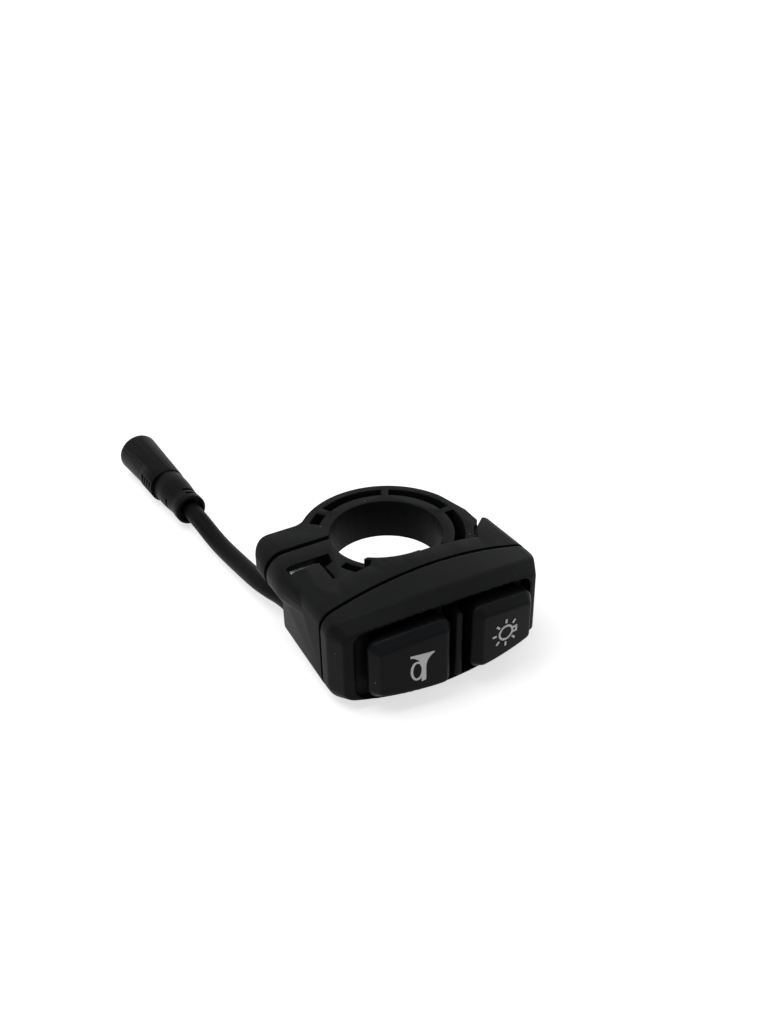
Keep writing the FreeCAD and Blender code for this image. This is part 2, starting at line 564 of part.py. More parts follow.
POCKET_FLOOR = "(screw_above - nut_size / 2 - nut_clearance)"
cut(rear, "NutSlot", "XY", POCKET_FLOOR, f"{HALF_RING} + 1",
    lambda sketch: rectangle(sketch, "-1 * screw_across - nut_size / 2 - nut_clearance", POCKET_FRONT,
                             "-1 * screw_across + nut_size / 2 + nut_clearance", NUT_BACK))
cut(rear, "NutPocket", "XY", f"{HALF_RING} - pocket_depth", f"{HALF_RING} + 1", nut_pocket)
cut(rear, "ReliefSlot", "XY", f"{HALF_RING} - relief_slot_depth", "body_top",
    lambda sketch: rectangle(sketch, "relief_slot_right - screw_across",
                             f"{POCKET_FRONT} - relief_slot_length",
                             "relief_slot_right - screw_across + relief_slot_width", POCKET_FRONT))
cut(rear, "ScrewHole", "XZ", "slit_front - screw_reach - screw_spare", "slit_front + 1",
    lambda sketch: circle(sketch, "-1 * screw_across", "screw_above", "screw_radius + screw_clearance"))


def cavity(sketch):
    """The rear shell's inside, seen from the front: it leaves the block with the hinge solid."""
    left, right = "(cavity_wall - body_left)", "(body_right - cavity_wall)"
    step = f"(-1 * {HALF_RING} - hinge_floor)"
    side = "(hinge_across - knuckle_radius - arm_clearance - hinge_wall)"
    outline(sketch, [(left, belly_at(left, "shell_wall"), "(bottom_crown - shell_wall)", "left"),
                     (right, belly_at(right, "shell_wall")), (right, step), (side, step),
                     (side, crown_at(side, "shell_wall"), "(top_crown - shell_wall)", "left"),
                     (left, crown_at(left, "shell_wall"))])


cut(rear, "Cavity", "XZ", "-1 * parting", CAVITY_BACK, cavity)
cut(rear, "LeadChannel", "XZ", f"{CAVITY_BACK} - 5 * overlap", BLOCK_WALL_FRONT,
    lambda sketch: circle(sketch, "-1 * cable_across", "-1 * cable_drop", CHANNEL))
cut(rear, "GlandHole", "XZ", f"{BLOCK_WALL_FRONT} - overlap", "left_block_back + overlap",
    lambda sketch: circle(sketch, "-1 * cable_across", "-1 * cable_drop",
                          "cable_radius + gland_wall + gland_clearance"))


def arm_pocket(sketch):
    """Room for the cap's arm and knuckle, seen from above."""
    left, right = "(hinge_across - knuckle_radius)", "(hinge_across + knuckle_radius)"
    joint = "(360 - ring_joint_angle)"
    hinge = "-1 * hinge_ahead"
    outline(sketch, [(f"{BORE} * cos({joint}) - ring_joint_gap - joint_flat",
                      f"{BORE} * sin({joint}) + joint_set_back"),
                     (f"{left} - arm_clearance", hinge, "knuckle_radius + arm_clearance", "left"),
                     ("hinge_across", f"{hinge} - knuckle_radius - arm_clearance",
                      "knuckle_radius + arm_clearance", "left"),
                     (f"{right} + arm_clearance", hinge),
                     (f"{RIM} + side_swell + arm_clearance", "-1 * arm_reach"),
                     (f"{RIM} + side_swell + arm_clearance", "2"), ("5", "2")])


def saddle_end(sketch):
    """The saddle's end over the arm, where no plate covers it: it goes down to the cap's end."""
    joint = "(360 - ring_joint_angle)"
    start = (f"({BORE} * cos({joint}) - ring_joint_gap - joint_flat)",
             f"({BORE} * sin({joint}) + joint_set_back)")
    end = ("(hinge_across - knuckle_radius - arm_clearance)", "(-1 * hinge_ahead)")
    edge = f"{start[0]} + (-1 * back_face - {start[1]}) * ({end[0]} - {start[0]}) / ({end[1]} - {start[1]})"
    outline(sketch, [start, (edge, "-1 * back_face"), ("hinge_across", "-1 * back_face"),
                     ("hinge_across", start[1])])


cut(rear, "ArmPocket", "XY", f"-1 * {HALF_RING} - arm_end_gap", f"{ARM_TOP} + arm_end_gap", arm_pocket)
cut(rear, "SaddleEnd", "XY", ARM_TOP, f"{HALF_RING} + overlap", saddle_end)
PIN_BOTTOM, PIN_TOP = f"(-1 * {HALF_RING} - pin_below)", f"({ARM_TOP} + pin_above)"
cut(rear, "PinHole", "XY", PIN_BOTTOM, PIN_TOP,
    lambda sketch: circle(sketch, "hinge_across", "-1 * hinge_ahead", "pin_radius"))

COVER_SCREWS = ("-1 * cover_screw_across", "cover_screw_across")
HEAD_SEAT = "(-1 * back_face - cover_head_height)"
for number, across in enumerate(COVER_SCREWS, 1):
    extrude(rear, f"Boss{number}", "XZ", "-1 * parting", f"{CAVITY_BACK} + 2 * overlap",
            lambda sketch: circle(sketch, across, "-1 * cover_screw_drop",
                                  "cover_screw_radius + boss_wall"))
    cut(rear, f"ScrewWay{number}", "XZ", "-1 * parting - overlap", "-1 * back_face + screw_way",
        lambda sketch: circle(sketch, across, "-1 * cover_screw_drop", "cover_screw_radius + overlap"))
    cut(rear, f"HeadSeat{number}", "XZ", HEAD_SEAT, "-1 * back_face + screw_way",
        lambda sketch: circle(sketch, across, "-1 * cover_screw_drop", "cover_head_radius + head_room"))


HOOKS = (("-1 * hook_left", "hook_left + hook_width / 2"), ("hook_right", "hook_right + hook_width / 2"))
HOOK_END = "(hook_reach - parting)"
for number, (across, outer) in enumerate(HOOKS, 1):
    roof = crown_at(outer, "shell_wall")
    cut(rear, f"HookNotch{number}", "XZ", f"{HOOK_END} - hook_nib - hook_clearance",
        f"{HOOK_END} + hook_clearance",
        lambda sketch: rectangle(sketch, f"{across} - hook_width / 2 - hook_clearance", f"{roof} - 1",
                                 f"{across} + hook_width / 2 + hook_clearance",
                                 f"{roof} - hook_clearance + hook_nib"))

# The clamp's cap: most of the ring with its ear, and a knuckle on the hinge pin
cap = new_body("clamp_cap")


SWELL_END = "20"


def cap_plan(sketch):
    joint = "(360 - ring_joint_angle)"
    left, right = "(hinge_across - knuckle_radius)", "(hinge_across + knuckle_radius)"
    hinge = "-1 * hinge_ahead"
    outline(sketch, [(*on_chord(BORE, SLIT_BACK), BORE, "right"), ("0", BORE, BORE, "right"),
                     (BORE, "0", BORE, "right"), on_circle(BORE, joint),
                     (left, hinge, "knuckle_radius", "left"),
                     ("hinge_across", f"{hinge} - knuckle_radius", "knuckle_radius", "left"),
                     (right, hinge), (f"{RIM} + side_swell", "side_swell - arm_reach"),
                     (f"{RIM} + side_swell", "-1"),
                     (*on_circle(RIM, SWELL_END), RIM, "left"), ("0", RIM, RIM, "left"),
                     on_chord(RIM, SLIT_BACK)])


extrude(cap, "Ring", "XY", f"-1 * {HALF_RING}", HALF_RING, cap_plan)
extrude(cap, "Ear", "XZ", SLIT_BACK, EAR_BACK, ear)
soften(cap, "EarBlend", "ear_blend",
       lambda edge: runs_along(edge, Z_AXIS) and -15 < middle(edge).x < -11 and middle(edge).y > 9)


def ear_corner(sketch):
    """What is rounded off the back corner of the cap's ear, seen from above."""
    outline(sketch, [("-1 * ear_reach", f"{EAR_BACK} - ear_corner", "ear_corner", "right"),
                     ("ear_corner - ear_reach", EAR_BACK), ("ear_corner - ear_reach", f"{EAR_BACK} + 1"),
                     ("-1 * ear_reach - 1", f"{EAR_BACK} + 1"),
                     ("-1 * ear_reach - 1", f"{EAR_BACK} - ear_corner")])


cut(cap, "EarCorner", "XY", f"-1 * {HALF_RING}", HALF_RING, ear_corner)


def under_the_plate(sketch):
    """The part of the cap that the rear shell's upper plate covers."""
    gap = "arm_clearance"
    outline(sketch, [("-2", f"{gap} - back_face"),
                     (f"hinge_across + plate_right - {gap}", f"{gap} - back_face"),
                     (f"right_block - plate_slope - {gap}", f"{gap} - plate_back"), ("right_block", "-4"),
                     ("right_block", "-2 * hinge_ahead"), ("-2", "-2 * hinge_ahead")])


cut(cap, "ArmDrop", "XY", ARM_TOP, f"{HALF_RING} + 1", under_the_plate)
for name, first, last in (("GrooveRight", "313", "361"), ("GrooveBackRight", "7", "59"),
                          ("GrooveBackLeft", "65", "117"), ("GrooveLeft", "124", "139")):
    cut(cap, name, "XY", GROOVE_FLOOR, HALF_RING, ring_groove(first, last))
cut(cap, "PinHole", "XY", f"-1 * {HALF_RING} - 1", f"{HALF_RING} + 1",
    lambda sketch: circle(sketch, "hinge_across", "-1 * hinge_ahead", "pin_radius + pin_clearance"))


def swing_slot(sketch, radius):
    """A hole round the screw, longer on the far side so that the cap can swing on its hinge."""
    left, right = "(-1 * screw_across - ear_slot_extra)", "(-1 * screw_across)"
    low, high = f"screw_above - {radius}", f"screw_above + {radius}"
    outline(sketch, [(left, low), (right, low, radius, "left"),
                     (f"{right} + {radius}", "screw_above", radius, "left"),
                     (right, high), (left, high, radius, "left"),
                     (f"{left} - {radius}", "screw_above", radius, "left")])


SEAT = f"({EAR_BACK} - seat_depth)"
cut(cap, "SwingSlot", "XZ", "slit_front", f"{EAR_BACK} + 1",
    lambda sketch: swing_slot(sketch, "(screw_radius + screw_clearance)"))
cut(cap, "HeadSeat", "XZ", SEAT, f"{EAR_BACK} + 1",
    lambda sketch: swing_slot(sketch, "(washer_radius + seat_clearance)"))

# The front cover: a bulged bezel round a recess, with a window for each key's neck
cover = new_body("front_cover")
extrude(cover, "Shell", "XZ", "-1 * front_reach - 1", COVER_RIM,
        lambda sketch: outline(sketch, pillow("0")))
soften(cover, "LongCorners", "body_corner", lambda edge: edge.BoundBox.YLength > 5)
BULGE_LEFT, BULGE_RIGHT = "(-1 * body_left - 1)", "(body_right + 1)"


def bulge_at(across, apex, radius):
    """Place of a bulged face at a distance from the middle, seen from above."""
    return f"({radius} - sqrt({radius} ^ 2 - ({across} - bulge_shift) ^ 2) - {apex})"


def bulge(apex, radius, beyond):
    """Draws what lies between a bulged face and a line beyond it, seen from above."""
    def draw(sketch):
        outline(sketch, [(BULGE_LEFT, bulge_at(BULGE_LEFT, apex, radius), radius, "left"),
                         (BULGE_RIGHT, bulge_at(BULGE_RIGHT, apex, radius)),
                         (BULGE_RIGHT, beyond), (BULGE_LEFT, beyond)])
    return draw


cut(cover, "FrontBulge", "XY", "-2 * body_bottom", "2 * body_top",
    bulge("front_reach", "front_bulge", "-1 * front_reach - 4"))


def on_bulge(edge, reach, radius):
    """Whether an edge lies on the bulged front face."""
    across = size("bulge_shift")
    return all(abs(math.hypot(point.x - across, point.y - radius + reach) - radius) < 0.01
               for point in edge.discretize(5))


def bevel(body, name, reach, radius, depth, inset):
    """Slopes the body's edges on a bulged front face, by a depth along Y and an inset across it."""
    tip = body.Tip
    edges = [f"Edge{number}" for number, edge in enumerate(tip.Shape.Edges, 1)
             if on_bulge(edge, size(reach), size(radius))]
    feature = body.newObject("PartDesign::Chamfer", name)
    feature.Base = (tip, edges)
    feature.ChamferType = "Two distances"
    feature.setExpression("Size", named(depth))
    feature.setExpression("Size2", named(inset))
    doc.recompute()


bevel(cover, "Bezel", "front_reach", "front_bulge", "bezel_depth", "bezel_inset")
soften(cover, "BezelRound", "bezel_round",
       lambda edge: edge.BoundBox.XLength > LONG_EDGE and abs(middle(edge).z) > 5
       and abs(middle(edge).y + size("front_reach - bezel_depth")) < 2)


def end_slope(sketch):
    """What is sloped off the cover's right end, seen from above."""
    outline(sketch, [("end_across", "-1 * front_reach - end_rise", "end_round", "left"),
                     ("body_right", "-1 * end_back"),
                     ("2 * body_right", "-1 * end_back"), ("2 * body_right", "-1 * front_reach - 2"),
                     ("end_across", "-1 * front_reach - 2")])


cut(cover, "EndSlope", "XY", "-2 * body_bottom", "2 * body_top", end_slope)
cut(cover, "Recess", "XZ", "-1 * front_reach - 1", "-1 * recess_floor",
    lambda sketch: outline(sketch, pillow("recess_inset", "(-1 * recess_left)", "recess_right")))
soften(cover, "RecessCorners", "recess_corner",
       lambda edge: runs_along(edge, Y_AXIS) and middle(edge).y < size("-1 * recess_floor")
       and min(abs(middle(edge).x + size("recess_left")), abs(middle(edge).x - size("recess_right"))) < 0.01)
cut(cover, "Inside", "XZ", WEB_BACK, COVER_RIM,
    lambda sketch: outline(sketch, pillow("cover_wall", right="inside_right")))


def rib(sketch):
    """The rib between the keys, seen from the front, with round ends."""
    half = "rib_width / 2"
    left, right = f"-1 * {half}", half
    top, bottom = f"(rib_top - {half})", f"({half} - rib_drop)"
    outline(sketch, [(left, bottom, half, "left"), ("0", "-1 * rib_drop", half, "left"), (right, bottom),
                     (right, top, half, "left"), ("0", "rib_top", half, "left"), (left, top)])


extrude(cover, "Rib", "XZ", "-1 * rib_front", "-1 * recess_floor + 2 * overlap", rib)
for name, side in (("HornWindow", "-1"), ("LampWindow", "1")):
    cut(cover, name, "XZ", "-1 * recess_floor - 2 * overlap", f"{WEB_BACK} + 2 * overlap",
        lambda sketch: rectangle(sketch, f"{KEY_MIDDLES[side]} - neck_half_width - neck_clearance",
                                 f"{KEY_LEVEL} - neck_half_height - neck_clearance",
                                 f"{KEY_MIDDLES[side]} + neck_half_width + neck_clearance",
                                 f"{KEY_LEVEL} + neck_half_height + neck_clearance"))
BOARD_SCREWS = (f"({KEY_LEVEL} - board_screw_half)", f"({KEY_LEVEL} + board_screw_half)")
for number, level in enumerate(BOARD_SCREWS, 1):
    extrude(cover, f"BoardPost{number}", "XZ", f"{WEB_BACK} - overlap", BOARD_FRONT,
            lambda sketch: circle(sketch, "0", level, "board_screw_radius + boss_wall"))
    cut(cover, f"BoardScrewHole{number}", "XZ", f"{WEB_BACK} + screw_bite - overlap",
        f"{BOARD_FRONT} + overlap",
        lambda sketch: circle(sketch, "0", level, "board_screw_radius"))
for number, across in enumerate(COVER_SCREWS, 1):
    extrude(cover, f"Boss{number}", "XZ", f"{WEB_BACK} - overlap", COVER_RIM,
            lambda sketch: circle(sketch, across, "-1 * cover_screw_drop",
                                  "cover_screw_radius + boss_wall"))
    cut(cover, f"ScrewHole{number}", "XZ", f"{WEB_BACK} + screw_bite", f"{COVER_RIM} + overlap",
        lambda sketch: circle(sketch, across, "-1 * cover_screw_drop", "cover_screw_radius"))
for number, (across, outer) in enumerate(HOOKS, 1):
    roof = crown_at(outer, "shell_wall")
    left, right = f"{across} - hook_width / 2", f"{across} + hook_width / 2"
    top = f"{roof} - hook_clearance"
    extrude(cover, f"Hook{number}", "XZ", f"{COVER_RIM} - 2", HOOK_END,
            lambda sketch: rectangle(sketch, left, f"{top} - hook_thickness", right, top))
    extrude(cover, f"HookNib{number}", "XZ", f"{HOOK_END} - hook_nib", HOOK_END,
            lambda sketch: rectangle(sketch, left, f"{top} - overlap",
                                     right, f"{top} + hook_nib - hook_clearance"))

# The gasket in the joint between the shells
gasket = new_body("housing_gasket")
extrude(gasket, "Ring", "XZ", COVER_RIM, "-1 * parting",
        lambda sketch: outline(sketch, pillow("gasket_inset")))
soften(gasket, "Corners", "body_corner - gasket_inset", lambda edge: runs_along(edge, Y_AXIS))
cut(gasket, "Middle", "XZ", COVER_RIM, "-1 * parting",
    lambda sketch: outline(sketch, pillow("(gasket_inset + gasket_width)")))


def key_shape(side):
    """A key seen from the front: it follows the recess inside a gap. side is -1 for the left key."""
    left, right = ("key_inner", "key_right") if side == "1" else ("(-1 * key_left)", "(-1 * key_inner)")
    return pillow("(recess_inset + key_gap)", left, right, "(recess_inset + key_gap_low)")


KEY_REACH = "(front_reach + key_stand)"
KEY_BULGE = "(front_bulge + key_stand)"
HOLLOW_FRONT = f"({HEAD_BACK} + key_end_clearance)"
PLUNGER_END = f"({SWITCH_FRONT} + key_end_clearance)"
POST_END = f"({SWITCH_FRONT} - key_travel - key_end_gap)"


def make_key(label, side):
    """A key: a bevelled head in the recess, a hollow neck through the window and a flange behind it."""
    body = new_body(label)
    centre = KEY_MIDDLES[side]
    extrude(body, label + "Head", "XZ", f"-1 * {KEY_REACH} - 1", HEAD_BACK,
            lambda sketch: outline(sketch, key_shape(side)))
    soften(body, label + "Corners", "key_corner", lambda edge: runs_along(edge, Y_AXIS))
    cut(body, label + "Bulge", "XY", "-2 * body_bottom", "2 * body_top",
        bulge(KEY_REACH, KEY_BULGE, f"-1 * {KEY_REACH} - 4"))
    bevel(body, label + "Bevel", KEY_REACH, KEY_BULGE, "key_bevel_depth", "key_bevel")
    soften(body, label + "Rounds", "key_round",
           lambda edge: on_bulge(edge, size(KEY_REACH), size(KEY_BULGE)))
    extrude(body, label + "Neck", "XZ", f"{HEAD_BACK} - overlap", FLANGE_BACK,
            lambda sketch: rectangle(sketch, f"{centre} - neck_half_width",
                                     f"{KEY_LEVEL} - neck_half_height",
                                     f"{centre} + neck_half_width", f"{KEY_LEVEL} + neck_half_height"))
    extrude(body, label + "Flange", "XZ", FLANGE_FRONT, FLANGE_BACK,
            lambda sketch: rectangle(sketch, f"{centre} - neck_half_width - flange_width",
                                     f"{KEY_LEVEL} - neck_half_height - flange_width",
                                     f"{centre} + neck_half_width + flange_width",
                                     f"{KEY_LEVEL} + neck_half_height + flange_width"))
    cut(body, label + "Hollow", "XZ", HOLLOW_FRONT, f"{FLANGE_BACK} + overlap",
        lambda sketch: rectangle(sketch, f"{centre} - neck_half_width + neck_wall",
                                 f"{KEY_LEVEL} - neck_half_height + neck_wall",
                                 f"{centre} + neck_half_width - neck_wall",
                                 f"{KEY_LEVEL} + neck_half_height - neck_wall"))
    extrude(body, label + "Post", "XZ", f"{HEAD_BACK} + overlap", POST_END,
            lambda sketch: circle(sketch, centre, KEY_LEVEL, "post_radius"))
    return body


def symbol(label, draw):
    """A thin printed symbol that follows a key's bulged front. draw puts its outlines in the sketch."""
    body = new_body(label)
    for number, shape in enumerate(draw, 1):
        kind, drawing = shape
        extrude(body, f"{label}{number}", "XZ", f"-1 * {KEY_REACH} - 1", f"4 - {KEY_REACH}",
                drawing, cut=kind == "cut")
    cut(body, label + "Front", "XY", "-2 * body_bottom", "2 * body_top",
        bulge(f"({KEY_REACH} + symbol_thickness)", f"({KEY_BULGE} + symbol_thickness)",
              f"-1 * {KEY_REACH} - 4"))
    cut(body, label + "Back", "XY", "-2 * body_bottom", "2 * body_top", bulge(KEY_REACH, KEY_BULGE, "0"))
    return body


def slanted_bar(sketch, x, y, start, end, angle):
    """A bar of a symbol, along a ray from a point between two distances from it."""
    along, across = (f"cos({angle})", f"sin({angle})"), (f"-1 * sin({angle})", f"cos({angle})")

    def corner(distance, side):
        return tuple(f"{base} + {distance} * ({forward}) {side} symbol_line / 2 * ({sideways})"
                     for base, forward, sideways in zip((x, y), along, across))
    outline(sketch, [corner(start, "-"), corner(end, "-"), corner(end, "+"), corner(start, "+")])


def horn_mouth(sketch):
    """The horn: a wide mouth above whose flanks curve down to a tube."""
    tube, top = "-1 * horn_across", "-1 * horn_level"
    half, low = "symbol_line", f"({top} - horn_height)"
    outline(sketch, [(f"{tube} - horn_left", top), (f"{tube} + horn_right", top),
                     (f"{tube} + horn_right", f"{top} - symbol_line / 2", "1.6 * horn_right", "left"),
                     (f"{tube} + {half}", f"{top} - 0.45 * horn_height"),
                     (f"{tube} + {half}", f"{low} + symbol_line / 2"), (f"{tube} - {half}", low),
                     (f"{tube} - {half}", f"{top} - 0.4 * horn_height", "horn_left", "left"),
                     (f"{tube} - horn_left", f"{top} - symbol_line")])


def horn_loop(sketch, inset):
    """The horn's loop: an oval of four arcs that meet smoothly."""
    width, height, end = f"(loop_width - {inset})", f"(loop_height - {inset})", f"(loop_end - {inset})"
    side = f"(({width} ^ 2 + ({height} - {end}) ^ 2 - {end} ^ 2) / (2 * ({width} - {end})))"
    middle_x = "(0 - horn_across - loop_width)"
    middle_z = "(0 - horn_level - loop_level)"
    across = f"({end} * ({side} - {width}) / ({side} - {end}))"
    up = f"(({height} - {end}) * {side} / ({side} - {end}))"
    outline(sketch, [(f"{middle_x} + {across}", f"{middle_z} - {up}", side, "left"),
                     (f"{middle_x} + {across}", f"{middle_z} + {up}", end, "left"),
                     (f"{middle_x} - {across}", f"{middle_z} + {up}", side, "left"),
                     (f"{middle_x} - {across}", f"{middle_z} - {up}", end, "left")])


def lamp_base(sketch, inset):
    """The lamp's base: a small box beside the ring."""
    rectangle(sketch, f"{LAMP[0]} + lamp_radius - symbol_line / 2", f"{LAMP[1]} - lamp_base_half + {inset}",
              f"{LAMP[0]} + lamp_base - {inset}", f"{LAMP[1]} + lamp_base_half - {inset}")


LAMP = ("lamp_across", "-1 * lamp_level")
make_key("horn_button", "-1")
make_key("lamp_button", "1")
symbol("horn_symbol", [("pad", lambda sketch: horn_loop(sketch, "0")),
                       ("cut", lambda sketch: horn_loop(sketch, "symbol_line")), ("pad", horn_mouth)])
rays = [("pad", lambda sketch, angle=str(45 * number):
         slanted_bar(sketch, *LAMP, "ray_start", "ray_end", angle))
        for number in range(1, 8)]
symbol("lamp_symbol", [("pad", lambda sketch: lamp_base(sketch, "0")),
                       ("cut", lambda sketch: lamp_base(sketch, "symbol_line")),
                       ("pad", lambda sketch: circle(sketch, *LAMP, "lamp_radius")),
                       ("cut", lambda sketch: circle(sketch, *LAMP, "lamp_radius - symbol_line"))] + rays)

# Behind each key: its seal, its return spring, and the switch that its post presses
for label, side in (("horn", "-1"), ("lamp", "1")):
    centre = KEY_MIDDLES[side]
    seal = new_body(label + "_seal")
    for name, grow, removes in (("Ring", "flange_width", False), ("Opening", "neck_clearance", True)):
        extrude(seal, label + name, "XZ", WEB_BACK, f"{WEB_BACK} + seal_thickness",
                lambda sketch: rectangle(sketch, f"{centre} - neck_half_width - {grow}",
                                         f"{KEY_LEVEL} - neck_half_height - {grow}",
                                         f"{centre} + neck_half_width + {grow}",
                                         f"{KEY_LEVEL} + neck_half_height + {grow}"), cut=removes)
    case = new_body(label + "_switch")
    extrude(case, label + "Case", "XZ", SWITCH_FRONT, BOARD_FRONT,
            lambda sketch: rectangle(sketch, f"{centre} - switch_size / 2", f"{KEY_LEVEL} - switch_size / 2",
                                     f"{centre} + switch_size / 2", f"{KEY_LEVEL} + switch_size / 2"))
    cut(case, label + "Bore", "XZ", f"{SWITCH_FRONT} - overlap", f"{BOARD_FRONT} - 2 * overlap",
        lambda sketch: circle(sketch, centre, KEY_LEVEL, "post_radius + plunger_clearance"))
    plunger = new_body(label + "_plunger")
    extrude(plunger, label + "Pin", "XZ", POST_END, PLUNGER_END,
            lambda sketch: circle(sketch, centre, KEY_LEVEL, "post_radius"))
    spring = new_body(label + "_spring")
    wire = new_sketch(spring, label + "Wire", "XY", KEY_LEVEL)
    wire.setExpression("AttachmentOffset.Base.x", named(centre))
    circle(wire, "spring_radius", f"{HOLLOW_FRONT} + spring_seat + spring_wire / 2", "spring_wire / 2")
    coil = spring.newObject("PartDesign::AdditiveHelix", label + "Coil")
    coil.Profile = wire
    coil.ReferenceAxis = (wire, ["V_Axis"])
    coil.Mode = "height-turns-angle"
    coil.setExpression("Height", named(f"{SWITCH_FRONT} - {HOLLOW_FRONT} - 2 * spring_seat - spring_wire"))
    coil.setExpression("Turns", named("spring_turns"))
    doc.recompute()

# The board and its two screws
board = new_body("circuit_board")
extrude(board, "Board", "XZ", BOARD_FRONT, BOARD_BACK,
        lambda sketch: rectangle(sketch, "-1 * board_left", "-1 * board_bottom", "board_right", "board_top"))
for number, level in enumerate(BOARD_SCREWS, 1):
    cut(board, f"Hole{number}", "XZ", f"{BOARD_FRONT} - overlap", f"{BOARD_BACK} + overlap",
        lambda sketch: circle(sketch, "0", level, "board_screw_radius + screw_clearance"))
    screw = new_body(f"board_screw_{number}")
    extrude(screw, f"Shank{number}", "XZ", f"{WEB_BACK} + screw_bite", f"{BOARD_BACK} + 2 * overlap",
            lambda sketch: circle(sketch, "0", level, "board_screw_radius"))
    extrude(screw, f"Head{number}", "XZ", BOARD_BACK, f"{BOARD_BACK} + board_head_height",
            lambda sketch: circle(sketch, "0", level, "board_head_radius"))

# The two screws that hold the shells together, from behind
for number, across in enumerate(COVER_SCREWS, 1):
    screw = new_body(f"cover_screw_{number}")
    extrude(screw, f"Shank{number}", "XZ", f"{WEB_BACK} + 2 * screw_bite", f"{HEAD_SEAT} + 2 * overlap",
            lambda sketch: circle(sketch, across, "-1 * cover_screw_drop", "cover_screw_radius"))
    extrude(screw, f"Head{number}", "XZ", HEAD_SEAT, f"{HEAD_SEAT} + cover_head_height",
            lambda sketch: circle(sketch, across, "-1 * cover_screw_drop", "cover_head_radius"))

# The clamp's hinge pin, screw, washer and nut
pin = new_body("hinge_pin")
extrude(pin, "Pin", "XY", PIN_BOTTOM, PIN_TOP,
        lambda sketch: circle(sketch, "hinge_across", "-1 * hinge_ahead", "pin_radius"))
SCREW = ("-1 * screw_across", "screw_above")
WASHER_BACK = f"({SEAT} + rest_gap + washer_thickness)"
screw = new_body("clamp_screw")
extrude(screw, "Shank", "XZ", "slit_front - screw_reach", f"{WASHER_BACK} + 2 * overlap",
        lambda sketch: circle(sketch, *SCREW, "screw_radius"))
extrude(screw, "Head", "XZ", WASHER_BACK, f"{WASHER_BACK} + head_height",
        lambda sketch: circle(sketch, *SCREW, "head_radius"))


def socket(sketch):
    """The hexagon socket of the clamp screw."""
    corner = "socket_size / sqrt(3)"
    outline(sketch, [(f"{corner} * cos({60 * number}) - screw_across",
                      f"{corner} * sin({60 * number}) + screw_above") for number in range(6)])


cut(screw, "Socket", "XZ", f"{WASHER_BACK} + head_height - socket_depth",
    f"{WASHER_BACK} + head_height + overlap", socket)
washer = new_body("clamp_washer")
extrude(washer, "Disc", "XZ", f"{WASHER_BACK} - washer_thickness", WASHER_BACK,
        lambda sketch: circle(sketch, *SCREW, "washer_radius"))
cut(washer, "Hole", "XZ", f"{WASHER_BACK} - washer_thickness - overlap", f"{WASHER_BACK} + overlap",
    lambda sketch: circle(sketch, *SCREW, "screw_radius + thread_clearance"))
nut = new_body("clamp_nut")
extrude(nut, "Block", "XZ", NUT_FRONT, NUT_BACK,
        lambda sketch: rectangle(sketch, "-1 * screw_across - nut_size / 2", "screw_above - nut_size / 2",
                                 "nut_size / 2 - screw_across", "screw_above + nut_size / 2"))
cut(nut, "Thread", "XZ", f"{NUT_FRONT} - overlap", f"{NUT_BACK} + overlap",
    lambda sketch: circle(sketch, *SCREW, "screw_radius + thread_clearance"))

# The lead's gland, its jacket inside the housing, the ring on it and its conductors
EXIT = ("-1 * cable_across", "-1 * cable_drop")
GLAND_FRONT = f"({BLOCK_WALL_FRONT} - lip_thickness)"
GLAND_BACK = "(left_block_back + gland_stand)"
gland = new_body("cable_gland")
for name, start, end, radius in (
        ("Sleeve", GLAND_FRONT, GLAND_BACK, "cable_radius + gland_wall"),
        ("InnerLip", GLAND_FRONT, BLOCK_WALL_FRONT, "cable_radius + gland_wall + gland_lip"),
        ("OuterLip", "left_block_back", "left_block_back + lip_thickness",
         "cable_radius + gland_wall + gland_lip")):
    extrude(gland, name, "XZ", start, end, lambda sketch: circle(sketch, *EXIT, radius))
cut(gland, "Bore", "XZ", f"{GLAND_FRONT} - overlap", f"{GLAND_BACK} + overlap",
    lambda sketch: circle(sketch, *EXIT, "cable_radius"))
TAIL_FRONT = f"({GLAND_BACK} - tail_length)"
tail = new_body("cable_tail")
extrude(tail, "Jacket", "XZ", TAIL_FRONT, GLAND_BACK, lambda sketch: circle(sketch, *EXIT, "cable_radius"))
crimp = new_body("cable_crimp")
extrude(crimp, "Ring", "XZ", f"{GLAND_FRONT} - crimp_length", GLAND_FRONT,
        lambda sketch: circle(sketch, *EXIT, "cable_radius + gland_wall"))
cut(crimp, "Bore", "XZ", f"{GLAND_FRONT} - crimp_length - overlap", f"{GLAND_FRONT} + overlap",
    lambda sketch: circle(sketch, *EXIT, "cable_radius"))
for number, (x, z) in enumerate((("-1 * wire_offset", "wire_lift"), ("wire_offset", "wire_lift"),
                                 ("0", "wire_lift + wire_stack")), 1):
    wire = new_body(f"lead_wire_{number}")
    extrude(wire, f"Wire{number}", "XZ", BOARD_BACK, TAIL_FRONT,
            lambda sketch: circle(sketch, f"{EXIT[0]} + {x}", f"{EXIT[1]} + {z}", "wire_radius"))

# The free lead: it leaves the gland straight back, dips to the surface and rises into the plug
PLUG_MOUTH = FreeCAD.Vector(-23.6, 48.5, -10.3)
PLUG_AXIS = FreeCAD.Vector(-2.0, 31.1, 0.25).normalize()
STRAIGHT_RUN = 4.0
BEND_SHARE = 0.45
exit_point = FreeCAD.Vector(size(EXIT[0]), size(GLAND_BACK), size(EXIT[1]))
lead_points = [exit_point, exit_point + FreeCAD.Vector(0, STRAIGHT_RUN, 0), FreeCAD.Vector(-21.0, 14.4, -10.1),
               FreeCAD.Vector(-21.6, 24.6, -11.4), FreeCAD.Vector(-22.5, 35.6, -12.0),
               PLUG_MOUTH - PLUG_AXIS * STRAIGHT_RUN, PLUG_MOUTH + PLUG_AXIS * size("cup_depth")]


